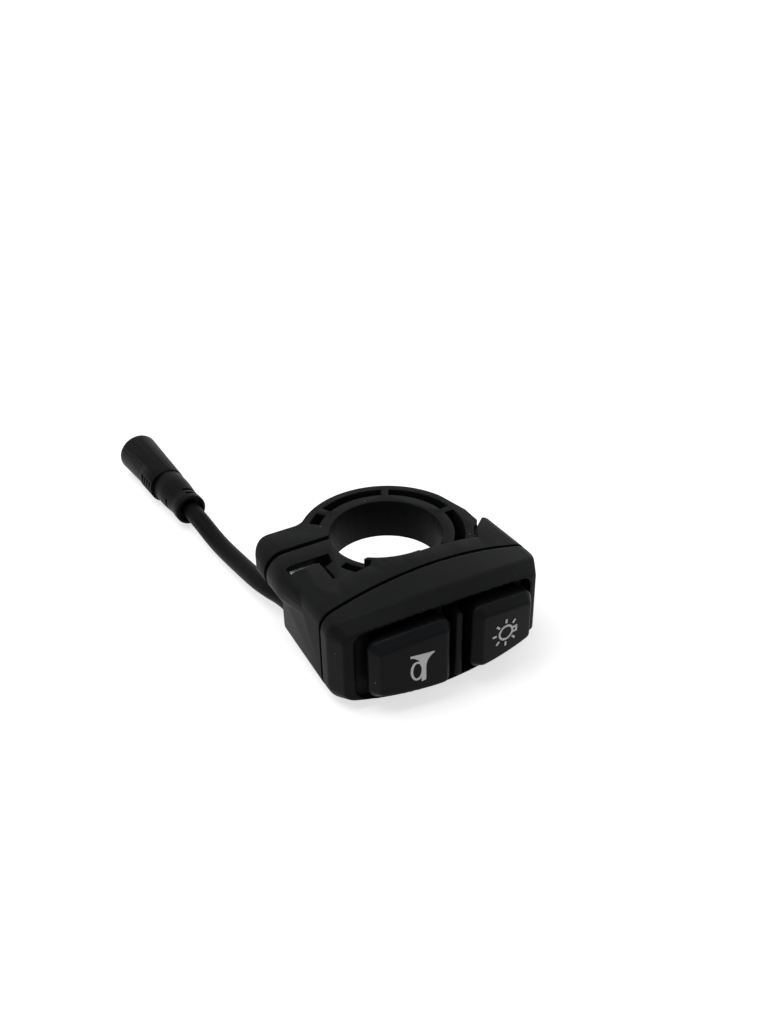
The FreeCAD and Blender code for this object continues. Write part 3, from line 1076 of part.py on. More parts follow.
def lead_path(points):
    """Straight runs through the points, joined by tangent arcs as large as their runs allow."""
    edges, place, radii = [], points[0], []
    for before, corner, after in zip(points, points[1:], points[2:]):
        inward, outward = (corner - before), (after - corner)
        shorter = min(inward.Length, outward.Length)
        half_turn = inward.getAngle(outward) / 2
        radii.append(BEND_SHARE * shorter / math.tan(half_turn))
        first = corner - inward.normalize() * BEND_SHARE * shorter
        last = corner + outward.normalize() * BEND_SHARE * shorter
        towards = (outward - inward).normalize()
        middle_point = corner + towards * radii[-1] * (1 / math.cos(half_turn) - 1)
        edges += [Part.LineSegment(place, first).toShape(), Part.Arc(first, middle_point, last).toShape()]
        place = last
    edges.append(Part.LineSegment(place, points[-1]).toShape())
    return Part.Wire(edges), radii


lead_wire, lead_radii = lead_path(lead_points)
profile = Part.Wire([Part.makeCircle(size("cable_radius"), exit_point, FreeCAD.Vector(0, 1, 0))])
lead = doc.addObject("Part::Feature", "cable")
lead.Label = "cable"
lead.Shape = lead_wire.makePipeShell([profile], True, False)
section = math.pi * size("cable_radius") ** 2
print("lead: length", round(lead_wire.Length, 2), "mm, radii", [round(radius, 1) for radius in lead_radii],
      "volume", round(lead.Shape.Volume, 2), "of", round(section * lead_wire.Length, 2))

# The plug, modelled along Z from the collar's mouth and then laid along its axis
PLUG_PLACE = FreeCAD.Placement(PLUG_MOUTH, FreeCAD.Rotation(Z_AXIS, PLUG_AXIS))
relief = new_body("plug_relief")
revolve(relief, "Collar", lambda sketch: outline(sketch, [
    ("0", "cup_depth"), ("cup_radius", "cup_depth"), ("cup_radius", "0"), ("collar_radius - collar_edge", "0"),
    ("collar_radius", "collar_edge"), ("collar_radius", "collar_length"), ("neck_radius", "neck_place"),
    ("relief_radius", "neck_place + neck_swell"), ("relief_radius", "plug_relief"), ("0", "plug_relief")]))
FLEX_SLOTS = (("93", "145"), ("273", "325"), ("93", "145"), ("273", "325"), ("148", "200"), ("328", "380"))
for number, (first, last) in enumerate(FLEX_SLOTS):
    slot_start = f"flex_start + {number // 2} * flex_pitch"
    cut(relief, f"FlexSlot{number + 1}", "XY", slot_start, f"{slot_start} + flex_gap",
        ring_sector("flex_floor", "(relief_radius + 1)", first, last))
plug = new_body("plug_body")
revolve(plug, "Grip", lambda sketch: outline(sketch, [
    ("0", "plug_relief"), ("plug_near", "plug_relief"), ("plug_radius", "plug_length - plug_edge"),
    ("plug_radius - plug_edge", "plug_length"), ("plug_socket_radius", "plug_length"),
    ("plug_socket_radius", "plug_length - plug_socket_depth"), ("0", "plug_length - plug_socket_depth")]))
extrude(plug, "GripPad", "XY", "plug_relief", "plug_relief + pad_length",
        lambda sketch: circle(sketch, "-1 * pad_shift", "0", "plug_near"))
for number in range(4):
    groove_start = f"plug_relief + rib_start + {number} * rib_pitch"
    cut(plug, f"GripGroove{number + 1}", "XY", groove_start, f"{groove_start} + rib_gap",
        lambda sketch: outline(sketch, [("-1 * plug_radius - 1", "-1 * plug_radius - 1"),
                                        ("rib_depth - plug_near - pad_shift", "-1 * plug_radius - 1"),
                                        ("rib_depth - plug_near - pad_shift", "plug_radius + 1"),
                                        ("-1 * plug_radius - 1", "plug_radius + 1")]))
insert = new_body("plug_insert")
INSERT_FACE = "(plug_length - plug_socket_depth + insert_thickness)"
extrude(insert, "Disc", "XY", "plug_length - plug_socket_depth", INSERT_FACE,
        lambda sketch: circle(sketch, "0", "0", "plug_socket_radius"))
pins = []
for number in range(3):
    contact = new_body(f"plug_contact_{number + 1}")
    angle = f"{120 * number + 90}"
    extrude(contact, f"Pin{number + 1}", "XY", INSERT_FACE, "plug_length - contact_set_back",
            lambda sketch: circle(sketch, *on_circle("contact_circle", angle), "contact_radius"))
    pins.append(contact)
for body in [relief, plug, insert] + pins:
    body.Placement = PLUG_PLACE

os.makedirs("parts", exist_ok=True)
doc.recompute()
for item in doc.Objects:
    if "Invalid" in item.State or "Error" in item.State:
        raise RuntimeError(f"{item.Label} failed: {item.State}")
for item in doc.Objects:
    if item.TypeId in ("PartDesign::Body", "Part::Feature"):
        if item.Shape.isNull() or not item.Shape.isValid() or not item.Shape.Solids:
            raise RuntimeError(f"{item.Label} has no valid solid")
        print(item.Label, round(item.Shape.Volume, 2), len(item.Shape.Solids))
        item.Shape.exportStep(f"parts/{item.Label}.step")
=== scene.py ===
"""Handlebar horn and light switch on a hinged bar clamp, with its short lead and round plug."""
import math

import bmesh
import bpy
from mathutils import Matrix, Vector


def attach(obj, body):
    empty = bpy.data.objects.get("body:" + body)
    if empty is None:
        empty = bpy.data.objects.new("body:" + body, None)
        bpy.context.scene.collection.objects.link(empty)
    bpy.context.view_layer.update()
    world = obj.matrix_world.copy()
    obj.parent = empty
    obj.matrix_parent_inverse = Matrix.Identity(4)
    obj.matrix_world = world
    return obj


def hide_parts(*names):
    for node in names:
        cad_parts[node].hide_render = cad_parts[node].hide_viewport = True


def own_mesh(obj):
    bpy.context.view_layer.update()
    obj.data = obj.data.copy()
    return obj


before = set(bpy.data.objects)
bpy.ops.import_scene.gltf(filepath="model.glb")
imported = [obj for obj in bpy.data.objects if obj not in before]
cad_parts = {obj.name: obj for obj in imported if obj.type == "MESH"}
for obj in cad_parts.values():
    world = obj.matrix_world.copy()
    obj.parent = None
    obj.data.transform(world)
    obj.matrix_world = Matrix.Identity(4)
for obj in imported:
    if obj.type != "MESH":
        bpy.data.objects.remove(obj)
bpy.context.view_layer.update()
MM = 0.001

# Camera
# It stands to the keys' left and above them, as for the photograph. Its place, roll and focal
# length were fitted to the clamp's bore and the housing's outline.
camera_place = Vector((-87.5, -161.4, 130.2)) * MM
camera_side, camera_height, camera_roll = 28.37, 33.43, -1.12
camera_lens, film_height, nearest = 39.94, 36.0, 10 * MM
camera_data = bpy.data.cameras.new("photo_camera")
camera_data.sensor_fit = "VERTICAL"
camera_data.sensor_height = film_height
camera_data.lens = camera_lens
camera_data.clip_start = nearest
camera = bpy.data.objects.new("photo_camera", camera_data)
camera.matrix_world = (Matrix.Translation(camera_place)
                       @ Matrix.Rotation(math.radians(-camera_side), 4, "Z")
                       @ Matrix.Rotation(math.radians(90 - camera_height), 4, "X")
                       @ Matrix.Rotation(math.radians(camera_roll), 4, "Z"))
bpy.context.scene.collection.objects.link(camera)
bpy.context.scene.camera = camera

# Lead
# A three-core lead in a soft black jacket, 4 mm thick. It leaves the gland straight back, sags to the
# surface that the switch lies on, and rises into the collar of its plug. It is shown from end to end.
LEAD_RADIUS = 2.0 * MM
STRAIGHT_RUN = 4.0 * MM
CUP_DEPTH = 1.2 * MM
PLUG_MOUTH = Vector((-23.6, 48.5, -10.3)) * MM
PLUG_AXIS = Vector((-2.0, 31.1, 0.25)).normalized()
GLAND_END = Vector((-18.9, 2.6, -9.3)) * MM
LEAD_STEPS, LEAD_SIDES = 16, 10
PATCH_SIZE = 5 * MM
GRAIN_STRENGTH, GLOSSIER, DULLER = 0.35, 0.06, 0.08
DUST_SPACING, DUST_SIZE, DUST_GREY = 1.7 * MM, 0.12 * MM, (0.22, 0.22, 0.21)
lead_points = [GLAND_END, GLAND_END + Vector((0, STRAIGHT_RUN, 0))]
lead_points += [Vector(point) * MM for point in (
    (-21.0, 14.4, -10.1), (-21.6, 24.6, -11.4), (-22.5, 35.6, -12.0))]
lead_points += [PLUG_MOUTH - PLUG_AXIS * STRAIGHT_RUN, PLUG_MOUTH + PLUG_AXIS * CUP_DEPTH]


def node(tree, kind, inputs=None, **settings):
    """Adds a node: its settings, and its inputs by name, each a value or another node's output."""
    made = tree.nodes.new(kind)
    for name, value in settings.items():
        setattr(made, name, value)
    for name, value in (inputs or {}).items():
        if isinstance(value, bpy.types.NodeSocket):
            tree.links.new(value, made.inputs[name])
        else:
            made.inputs[name].default_value = value
    return made


def material(name):
    """A new material with its node tree and its shader."""
    made = bpy.data.materials.new(name)
    made.use_nodes = True
    return made, made.node_tree, made.node_tree.nodes["Principled BSDF"]


def noise(tree, grain_size, detail=2.0, stretch=(1, 1, 1)):
    """Noise in the object's own coordinates, with grains of a size in metres."""
    place = node(tree, "ShaderNodeTexCoord").outputs["Object"]
    stretched = node(tree, "ShaderNodeMapping", {"Vector": place, "Scale": stretch}).outputs["Vector"]
    return node(tree, "ShaderNodeTexNoise", {
        "Vector": stretched, "Scale": 1 / grain_size, "Detail": detail}).outputs["Fac"]


def reckoned(tree, operation, first, second):
    """The result of an operation on two numbers, each a value or another node's output."""
    return node(tree, "ShaderNodeMath", {0: first, 1: second}, operation=operation).outputs[0]


def spread(tree, value, low, high, start=0.3, end=0.7):
    """Maps a value between two limits onto a range."""
    return node(tree, "ShaderNodeMapRange", {"Value": value, "From Min": start, "From Max": end,
                                             "To Min": low, "To Max": high}).outputs["Result"]


def mixed(tree, share, first, second):
    """A mix of two colours by a share: each is three numbers or another node's output."""
    made = node(tree, "ShaderNodeMix", {"Factor": share}, data_type="RGBA")
    for socket, colour in (("A", first), ("B", second)):
        if isinstance(colour, bpy.types.NodeSocket):
            tree.links.new(colour, made.inputs[socket])
        else:
            made.inputs[socket].default_value = (*colour, 1)
    return made.outputs["Result"]


def bump(tree, shader, height, strength, depth):
    """Gives a shader the relief of a height, in metres."""
    made = node(tree, "ShaderNodeBump", {"Height": height, "Strength": strength, "Distance": depth})
    tree.links.new(made.outputs["Normal"], shader.inputs["Normal"])


def specks(tree, spacing, size, share):
    """Single specks of dust: a spot in some cells of a loose grid."""
    place = node(tree, "ShaderNodeTexCoord").outputs["Object"]
    cells = node(tree, "ShaderNodeTexVoronoi", {"Vector": place, "Scale": 1 / spacing})
    number = node(tree, "ShaderNodeSeparateColor", {"Color": cells.outputs["Color"]}).outputs["Red"]
    spot = reckoned(tree, "LESS_THAN", cells.outputs["Distance"], size / spacing)
    return reckoned(tree, "MULTIPLY", spot, reckoned(tree, "LESS_THAN", number, share))


def moulded(name, dark, light, rough, specular, grain_size, depth, dust=0.0):
    """Moulded plastic or rubber: a fine grain, broad faint patches of colour, and some dust."""
    made, tree, shader = material(name)
    colour = mixed(tree, spread(tree, noise(tree, PATCH_SIZE, detail=3.0), 0, 1), dark, light)
    texture = noise(tree, grain_size, detail=3.0)
    if dust:
        colour = mixed(tree, specks(tree, DUST_SPACING, DUST_SIZE, dust), colour, DUST_GREY)
    tree.links.new(colour, shader.inputs["Base Color"])
    gloss = spread(tree, texture, rough - GLOSSIER, rough + DULLER)
    tree.links.new(gloss, shader.inputs["Roughness"])
    shader.inputs["Specular IOR Level"].default_value = specular
    bump(tree, shader, texture, GRAIN_STRENGTH, depth)
    return made


lead_curve = bpy.data.curves.new("lead", "CURVE")
lead_curve.dimensions = "3D"
lead_curve.resolution_u = LEAD_STEPS
lead_curve.bevel_depth = LEAD_RADIUS
lead_curve.bevel_resolution = LEAD_SIDES
lead_curve.use_fill_caps = True
line = lead_curve.splines.new("NURBS")
line.points.add(len(lead_points) - 1)
for control, point in zip(line.points, lead_points):
    control.co = (*point, 1)
line.order_u = 3
line.use_endpoint_u = True
lead = bpy.data.objects.new("lead", lead_curve)
bpy.context.scene.collection.objects.link(lead)
jacket_rubber = moulded("lead_jacket_rubber", (0.0018, 0.0018, 0.0022), (0.0030, 0.0030, 0.0034),
                        rough=0.45, specular=0.05, grain_size=0.25 * MM, depth=0.01 * MM)
lead_curve.materials.append(jacket_rubber)
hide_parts("cable")
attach(lead, "housing")

# Rear shell and clamp cap
# The rear shell is the housing's back with one half of the bar clamp, and the cap is the other half.
# Both are moulded in glass-filled black nylon with a fine matte grain, and their edges are broken a
# little, less where the bezel joins the shell. The cap swings on a steel pin.
JOINT_EDGE = 0.1 * MM
SHELL_EDGE = 0.28 * MM
PARTING = -15.9 * MM
EDGE_ANGLE, EDGE_STEPS = 32, 3
WELD, FLAT_ANGLE = 2e-6, 0.6


def baked(piece):
    """Makes the shape that a piece's modifiers give its plain mesh."""
    evaluated = piece.evaluated_get(bpy.context.evaluated_depsgraph_get())
    mesh = bpy.data.meshes.new_from_object(evaluated)
    piece.modifiers.clear()
    piece.data = mesh


def rounded(piece, width, angle):
    """Rounds a piece's edges by a width, or each by the width that a function of its middle gives."""
    shape = bmesh.new()
    shape.from_mesh(piece.data)
    weights = shape.edges.layers.float.new("bevel_weight_edge")
    edges = [edge for edge in shape.edges
             if len(edge.link_faces) == 2 and edge.calc_face_angle(0) > math.radians(angle)]
    widths = {edge: width for edge in edges}
    if callable(width):
        widths = {edge: width((edge.verts[0].co + edge.verts[1].co) / 2) for edge in edges}
    widest = max(widths.values())
    for edge, own_width in widths.items():
        edge[weights] = own_width / widest
    shape.to_mesh(piece.data)
    shape.free()
    rounding = piece.modifiers.new("edges", "BEVEL")
    rounding.width = widest
    rounding.segments = EDGE_STEPS
    rounding.limit_method = "WEIGHT"
    rounding.harden_normals = True
    rounding.miter_outer = "MITER_ARC"
    baked(piece)


def dressed(source, name, body, finish, width=None, angle=EDGE_ANGLE, skin=None):
    """Stands for a CAD node: its solid welded, its edges rounded or its skin softened, in its finish."""
    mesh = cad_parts[source].data.copy()
    mesh.name = name
    mesh.materials.clear()
    shape = bmesh.new()
    shape.from_mesh(mesh)
    bmesh.ops.remove_doubles(shape, verts=shape.verts, dist=WELD)
    bmesh.ops.dissolve_limit(shape, angle_limit=math.radians(FLAT_ANGLE), verts=shape.verts,
                             edges=shape.edges, delimit={"NORMAL"})
    for face in shape.faces:
        face.smooth = True
    shape.to_mesh(mesh)
    shape.free()
    piece = bpy.data.objects.new(name, mesh)
    bpy.context.scene.collection.objects.link(piece)
    if width:
        rounded(piece, width, angle)
    elif skin:
        softened(piece, *skin)
    else:
        piece.data.set_sharp_from_angle(angle=math.radians(angle))
    piece.data.materials.clear()
    piece.data.materials.append(finish)
    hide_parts(source)
    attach(piece, body)
    return piece


shell_nylon = moulded("shell_nylon", (0.0034, 0.0037, 0.0042), (0.0058, 0.0062, 0.0068),
                      rough=0.50, specular=0.07, grain_size=0.22 * MM, depth=0.02 * MM, dust=0.10)
dressed("rear_housing", "rear_shell", "housing", shell_nylon,
        lambda middle: JOINT_EDGE if middle.y < PARTING else SHELL_EDGE)
dressed("clamp_cap", "clamp_half", "cap", shell_nylon, SHELL_EDGE)

# Bezel
# The front cover is a bulged bezel round the two keys, moulded in the same nylon. It is pressed on the
# rear shell over a gasket and held by two screws from behind. All its edges are soft.
BEZEL_SKIN, BEZEL_PASSES = 0.26 * MM, 7


def softened(piece, skin, passes):
    """Lays an even skin over a piece and smooths it, as a worn mould rounds every edge."""
    wrapping = piece.modifiers.new("skin", "REMESH")
    wrapping.mode = "VOXEL"
    wrapping.voxel_size = skin
    wrapping.use_smooth_shade = True
    smoothing = piece.modifiers.new("soft edges", "SMOOTH")
    smoothing.factor = 0.5
    smoothing.iterations = passes
    baked(piece)


dressed("front_cover", "key_bezel", "housing", shell_nylon,
        skin=(BEZEL_SKIN, BEZEL_PASSES))

# Keys
# Two smooth black keys with bevelled heads, moulded in nylon that is a little glossier than the
# shells. Each stands on a hollow neck that slides in the floor of the bezel.
KEY_SKIN, KEY_PASSES = 0.18 * MM, 6
key_nylon = moulded("key_nylon", (0.0022, 0.0025, 0.0031), (0.0036, 0.0040, 0.0048),
                    rough=0.40, specular=0.07, grain_size=0.35 * MM, depth=0.008 * MM, dust=0.05)
for label in ("horn", "lamp"):
    dressed(label + "_button", label + "_key_cap", label + "_key", key_nylon,
            skin=(KEY_SKIN, KEY_PASSES))

# Pictograms
# A horn and a shining lamp, pad-printed on the keys in thick white ink whose edges are sharp. They
# move with their keys.
PRINT_ANGLE = 30
print_white = moulded("print_white", (0.88, 0.88, 0.87), (0.94, 0.94, 0.93),
                      rough=0.5, specular=0.3, grain_size=0.2 * MM, depth=0.004 * MM)
for label in ("horn", "lamp"):
    dressed(label + "_symbol", label + "_print", label + "_key", print_white,
            angle=PRINT_ANGLE)

# Seals
# Soft black rubber keeps the rain out: a gasket between the shells, a seal behind each key's flange,
# and the gland that the lead passes through.
SEAL_EDGE = 0.1 * MM
seal_rubber = moulded("seal_rubber", (0.003, 0.003, 0.003), (0.005, 0.005, 0.005),
                      rough=0.6, specular=0.1, grain_size=0.2 * MM, depth=0.01 * MM)
for source in ("housing_gasket", "horn_seal", "lamp_seal", "cable_gland"):
    dressed(source, source + "_rubber", "housing", seal_rubber, SEAL_EDGE)

# Return springs
# A coil of bright steel wire under each key lifts it again. One end rests in the key's hollow and the
# other on the switch, and a pressed key squeezes the coil.
SPRING_RADIUS, SPRING_WIRE, SPRING_TURNS = 2.1 * MM, 0.4 * MM, 4.0
SPRING_FRONT, SPRING_BACK, SPRING_LEVEL = -23.65 * MM, -20.35 * MM, -3.8 * MM
SPRING_PLACES = (("horn", -9.9 * MM), ("lamp", 9.2 * MM))
COIL_STEPS, WIRE_SIDES = 40, 14
QUARTER_TURN = math.pi / 2
SMOOTH_ANGLE = 35
METAL_PATCH, METAL_RELIEF, METAL_STRENGTH = 1.5 * MM, 0.004 * MM, 0.3
BRIGHTER, BLUNTER = 0.08, 0.1


def grouped(name, sizes):
    """A geometry tree whose named inputs are sizes, each a number or a vector."""
    tree = bpy.data.node_groups.new(name, "GeometryNodeTree")
    for label, value in sizes.items():
        kind = "NodeSocketVector" if isinstance(value, (tuple, Vector)) else "NodeSocketFloat"
        tree.interface.new_socket(name=label, in_out="INPUT", socket_type=kind)
    tree.interface.new_socket(name="Geometry", in_out="OUTPUT", socket_type="NodeSocketGeometry")
    return tree, tree.nodes.new("NodeGroupInput").outputs


def closed(tree, geometry, finish):
    """Ends a tree: its instances are made real and given their finish."""
    real = node(tree, "GeometryNodeRealizeInstances", {"Geometry": geometry}).outputs[0]
    done = node(tree, "GeometryNodeSetMaterial", {"Geometry": real, "Material": finish}).outputs[0]
    node(tree, "NodeGroupOutput", {"Geometry": done})


def grown(name, tree, sizes, body, sources):
    """The plain mesh that a geometry tree makes with these sizes, in the place of CAD nodes."""
    piece = bpy.data.objects.new(name, bpy.data.meshes.new(name))
    bpy.context.scene.collection.objects.link(piece)
    shaping = piece.modifiers.new("shape", "NODES")
    shaping.node_group = tree
    for item in tree.interface.items_tree:
        if item.in_out == "INPUT":
            shaping[item.identifier] = sizes[item.name]
    baked(piece)
    for face in piece.data.polygons:
        face.use_smooth = True
    piece.data.set_sharp_from_angle(angle=math.radians(SMOOTH_ANGLE))
    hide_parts(*sources)
    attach(piece, body)
    return piece


def brushed(name, dark, light, rough, grain_size):
    """Bare or plated metal: its gloss varies in fine grains and its colour in patches."""
    made, tree, shader = material(name)
    colour = mixed(tree, spread(tree, noise(tree, METAL_PATCH, detail=3.0), 0, 1), dark, light)
    texture = noise(tree, grain_size, detail=3.0, stretch=(1, 1, 4))
    tree.links.new(colour, shader.inputs["Base Color"])
    gloss = spread(tree, texture, rough - BRIGHTER, rough + BLUNTER)
    tree.links.new(gloss, shader.inputs["Roughness"])
    shader.inputs["Metallic"].default_value = 1.0
    bump(tree, shader, texture, METAL_STRENGTH, METAL_RELIEF)
    return made


spring_steel = brushed("spring_steel", (0.42, 0.42, 0.41), (0.55, 0.55, 0.54),
                       rough=0.28, grain_size=0.1 * MM)
spring_sizes = {"Radius": SPRING_RADIUS, "Wire": SPRING_WIRE, "Turns": SPRING_TURNS,
                "Height": SPRING_BACK - SPRING_FRONT, "Place": Vector()}
spring_tree, given = grouped("return_spring", spring_sizes)
coil = node(spring_tree, "GeometryNodeCurveSpiral", {
    "Resolution": COIL_STEPS, "Rotations": given["Turns"], "Start Radius": given["Radius"],
    "End Radius": given["Radius"], "Height": given["Height"]}).outputs[0]
wire_radius = reckoned(spring_tree, "MULTIPLY", given["Wire"], 0.5)
wire_round = node(spring_tree, "GeometryNodeCurvePrimitiveCircle",
                  {"Resolution": WIRE_SIDES, "Radius": wire_radius}).outputs[0]
coil = node(spring_tree, "GeometryNodeCurveToMesh",
            {"Curve": coil, "Profile Curve": wire_round, "Fill Caps": True}).outputs[0]
coil = node(spring_tree, "GeometryNodeTransform", {
    "Geometry": coil, "Translation": given["Place"], "Rotation": (-QUARTER_TURN, 0, 0)}).outputs[0]
closed(spring_tree, coil, spring_steel)
for label, across in SPRING_PLACES:
    spring_sizes["Place"] = Vector((across, SPRING_FRONT, SPRING_LEVEL))
    spring = grown(label + "_coil", spring_tree, spring_sizes, "housing",
                   [label + "_spring"])
    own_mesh(spring)

# Push switches
# Under each key a square push switch is soldered to the board: a glass-filled black case with a
# plunger, which the key's post presses.
SMALL_EDGE = 0.1 * MM
switch_plastic = moulded("switch_plastic", (0.010, 0.010, 0.010), (0.016, 0.015, 0.014),
                         rough=0.42, specular=0.35, grain_size=0.15 * MM, depth=0.01 * MM)
for label in ("horn", "lamp"):
    dressed(label + "_switch", label + "_push_switch", "housing", switch_plastic,
            SMALL_EDGE)
    dressed(label + "_plunger", label + "_switch_plunger", label + "_key", key_nylon,
            SMALL_EDGE)

# Circuit board
# A board of green glass laminate carries the switches and joins the lead's conductors. Broad copper
# fields under the solder mask show as paler green, and the weave of the glass as a fine check.
WEAVE_SIZE, FIELD_SIZE, GLOSS_SIZE, COPPER_RELIEF = 2.4 * MM, 4 * MM, 0.3 * MM, 0.03 * MM
laminate, tree, shader = material("board_laminate")
weave = node(tree, "ShaderNodeTexBrick", {
    "Vector": node(tree, "ShaderNodeTexCoord").outputs["Object"], "Scale": 1 / WEAVE_SIZE,
    "Color1": (0.006, 0.060, 0.022, 1), "Color2": (0.008, 0.075, 0.028, 1),
    "Mortar": (0.005, 0.045, 0.018, 1), "Mortar Size": 0.05})
fields = spread(tree, noise(tree, FIELD_SIZE, detail=0.0), low=0, high=0.5, start=0.48, end=0.5)
green = mixed(tree, fields, weave.outputs["Color"], (0.012, 0.110, 0.040))
tree.links.new(green, shader.inputs["Base Color"])
gloss = spread(tree, noise(tree, GLOSS_SIZE), low=0.25, high=0.4)
tree.links.new(gloss, shader.inputs["Roughness"])
bump(tree, shader, fields, strength=0.5, depth=COPPER_RELIEF)
dressed("circuit_board", "switch_board", "housing", laminate, SMALL_EDGE)

# Small screws
# Two self-tapping screws hold the board and two longer ones hold the shells together, all with round
# heads and a cross recess, in zinc-plated steel.
DOME_HEIGHT, DOME_TOP = 0.4, 0.72
RECESS_LENGTH, RECESS_WIDTH, RECESS_DEPTH = 1.15, 0.24, 0.9
CORE_TIP, CORE_TOP = 0.4, 0.8
THREAD_TIP, THREAD_TOP, THREAD_SHARE, THREAD_RADIUS = 0.5, 0.82, 0.95, 0.17
TURNED_SIDES, THREAD_STEPS, THREAD_SIDES = 40, 24, 6
SCREWS = {
    "board_screw": {"Shank Radius": 0.8, "Shank Length": 3.9, "Head Radius": 1.5, "Head Height": 0.9,
                    "Thread Pitch": 0.6, "First Place": Vector((0, -17.0, -7.8)),
                    "Step": Vector((0, 0, 8.0))},
    "cover_screw": {"Shank Radius": 0.9, "Shank Length": 7.2, "Head Radius": 1.6, "Head Height": 1.3,
                    "Thread Pitch": 0.7, "First Place": Vector((-6.0, -13.3, -11.0)),
                    "Step": Vector((12.0, 0, 0))}}
screw_steel = brushed("zinc_steel", (0.50, 0.51, 0.51), (0.66, 0.66, 0.64),
                      rough=0.30, grain_size=0.15 * MM)
screw_tree, given = grouped("small_screws", SCREWS["board_screw"])


def times(size, share):
    """A share of one of the screws' sizes."""
    return reckoned(screw_tree, "MULTIPLY", size, share)


def lifted(geometry, height):
    """A part of a screw, moved along its axis."""
    away = node(screw_tree, "ShaderNodeCombineXYZ", {"Z": height}).outputs[0]
    return node(screw_tree, "GeometryNodeTransform",
                {"Geometry": geometry, "Translation": away}).outputs[0]


def turned(radius_below, radius_above, depth):
    """A turned part of a screw, standing on its seat."""
    return node(screw_tree, "GeometryNodeMeshCone", {
        "Vertices": TURNED_SIDES, "Radius Top": radius_above, "Radius Bottom": radius_below,
        "Depth": depth}).outputs[0]


head, height = given["Head Radius"], given["Head Height"]
collar_height = times(height, 1 - DOME_HEIGHT)
collar = turned(head, head, collar_height)
dome = lifted(turned(head, times(head, DOME_TOP), times(height, DOME_HEIGHT)), collar_height)
recess_size = node(screw_tree, "ShaderNodeCombineXYZ", {
    "X": times(head, RECESS_LENGTH), "Y": times(head, RECESS_WIDTH),
    "Z": times(height, RECESS_DEPTH)}).outputs[0]
bar = node(screw_tree, "GeometryNodeMeshCube", {"Size": recess_size}).outputs[0]
cross_bar = node(screw_tree, "GeometryNodeTransform",
                 {"Geometry": bar, "Rotation": (0, 0, QUARTER_TURN)}).outputs[0]
recess = node(screw_tree, "GeometryNodeJoinGeometry")
for part in (bar, cross_bar):
    screw_tree.links.new(part, recess.inputs[0])
cut_dome = node(screw_tree, "GeometryNodeMeshBoolean", {"Mesh 1": dome}, operation="DIFFERENCE")
screw_tree.links.new(lifted(recess.outputs[0], height), cut_dome.inputs["Mesh 2"])
shank_radius, shank_length = given["Shank Radius"], given["Shank Length"]
downwards = times(shank_length, -1.0)
core = lifted(turned(times(shank_radius, CORE_TIP), times(shank_radius, CORE_TOP), shank_length),
              downwards)
thread_turns = reckoned(screw_tree, "DIVIDE", shank_length, given["Thread Pitch"])
thread_path = node(screw_tree, "GeometryNodeCurveSpiral", {
    "Resolution": THREAD_STEPS, "Rotations": thread_turns,
    "Start Radius": times(shank_radius, THREAD_TIP), "End Radius": times(shank_radius, THREAD_TOP),
    "Height": times(shank_length, THREAD_SHARE)}).outputs[0]
thread_round = node(screw_tree, "GeometryNodeCurvePrimitiveCircle",
                    {"Resolution": THREAD_SIDES, "Radius": times(shank_radius, THREAD_RADIUS)}).outputs[0]
thread = node(screw_tree, "GeometryNodeCurveToMesh",
              {"Curve": thread_path, "Profile Curve": thread_round, "Fill Caps": True}).outputs[0]
whole = node(screw_tree, "GeometryNodeJoinGeometry")
for part in (collar, cut_dome.outputs[0], core, lifted(thread, downwards)):
    screw_tree.links.new(part, whole.inputs[0])
row = node(screw_tree, "GeometryNodeMeshLine", {"Count": 2, "Start Location": given["First Place"],
                                                "Offset": given["Step"]}).outputs[0]
screws = node(screw_tree, "GeometryNodeInstanceOnPoints", {
    "Points": row, "Instance": whole.outputs[0], "Rotation": (-QUARTER_TURN, 0, 0)}).outputs[0]
closed(screw_tree, screws, screw_steel)
for name, sizes in SCREWS.items():
    in_metres = {label: value * MM for label, value in sizes.items()}
    grown(name + "s", screw_tree, in_metres, "housing", [name + "_1", name + "_2"])

# Clamp screw, washer, nut and hinge pin
# A socket-head screw draws the two ears together against a thin square nut, whose bright edge shows
# in its pocket. The cap swings on a plain steel pin. All are zinc-plated steel.
STEEL_EDGE = 0.12 * MM
for source, body in (("clamp_nut", "housing"), ("hinge_pin", "housing"), ("clamp_screw", "screw"),
                     ("clamp_washer", "washer")):
    dressed(source, source + "_steel", body, screw_steel, STEEL_EDGE)

# Lead inside the housing
# The jacket ends behind the gland, a crimped steel ring keeps it from being pulled out, and three
# insulated conductors run on to the board.
CORE_COLOURS = (
    ("lead_wire_1", "red", (0.40, 0.012, 0.010), (0.52, 0.018, 0.014)),
    ("lead_wire_2", "black", (0.008, 0.008, 0.008), (0.013, 0.013, 0.013)),
    ("lead_wire_3", "white", (0.62, 0.61, 0.58), (0.72, 0.71, 0.68)))
dressed("cable_tail", "lead_tail", "housing", jacket_rubber, SMALL_EDGE)
dressed("cable_crimp", "lead_crimp", "housing", screw_steel, SMALL_EDGE)
for source, colour, dark, light in CORE_COLOURS:
    insulation = moulded("wire_" + colour, dark, light,
                         rough=0.4, specular=0.3, grain_size=0.2 * MM, depth=0.006 * MM)
    dressed(source, "conductor_" + colour, "housing", insulation, SMALL_EDGE)

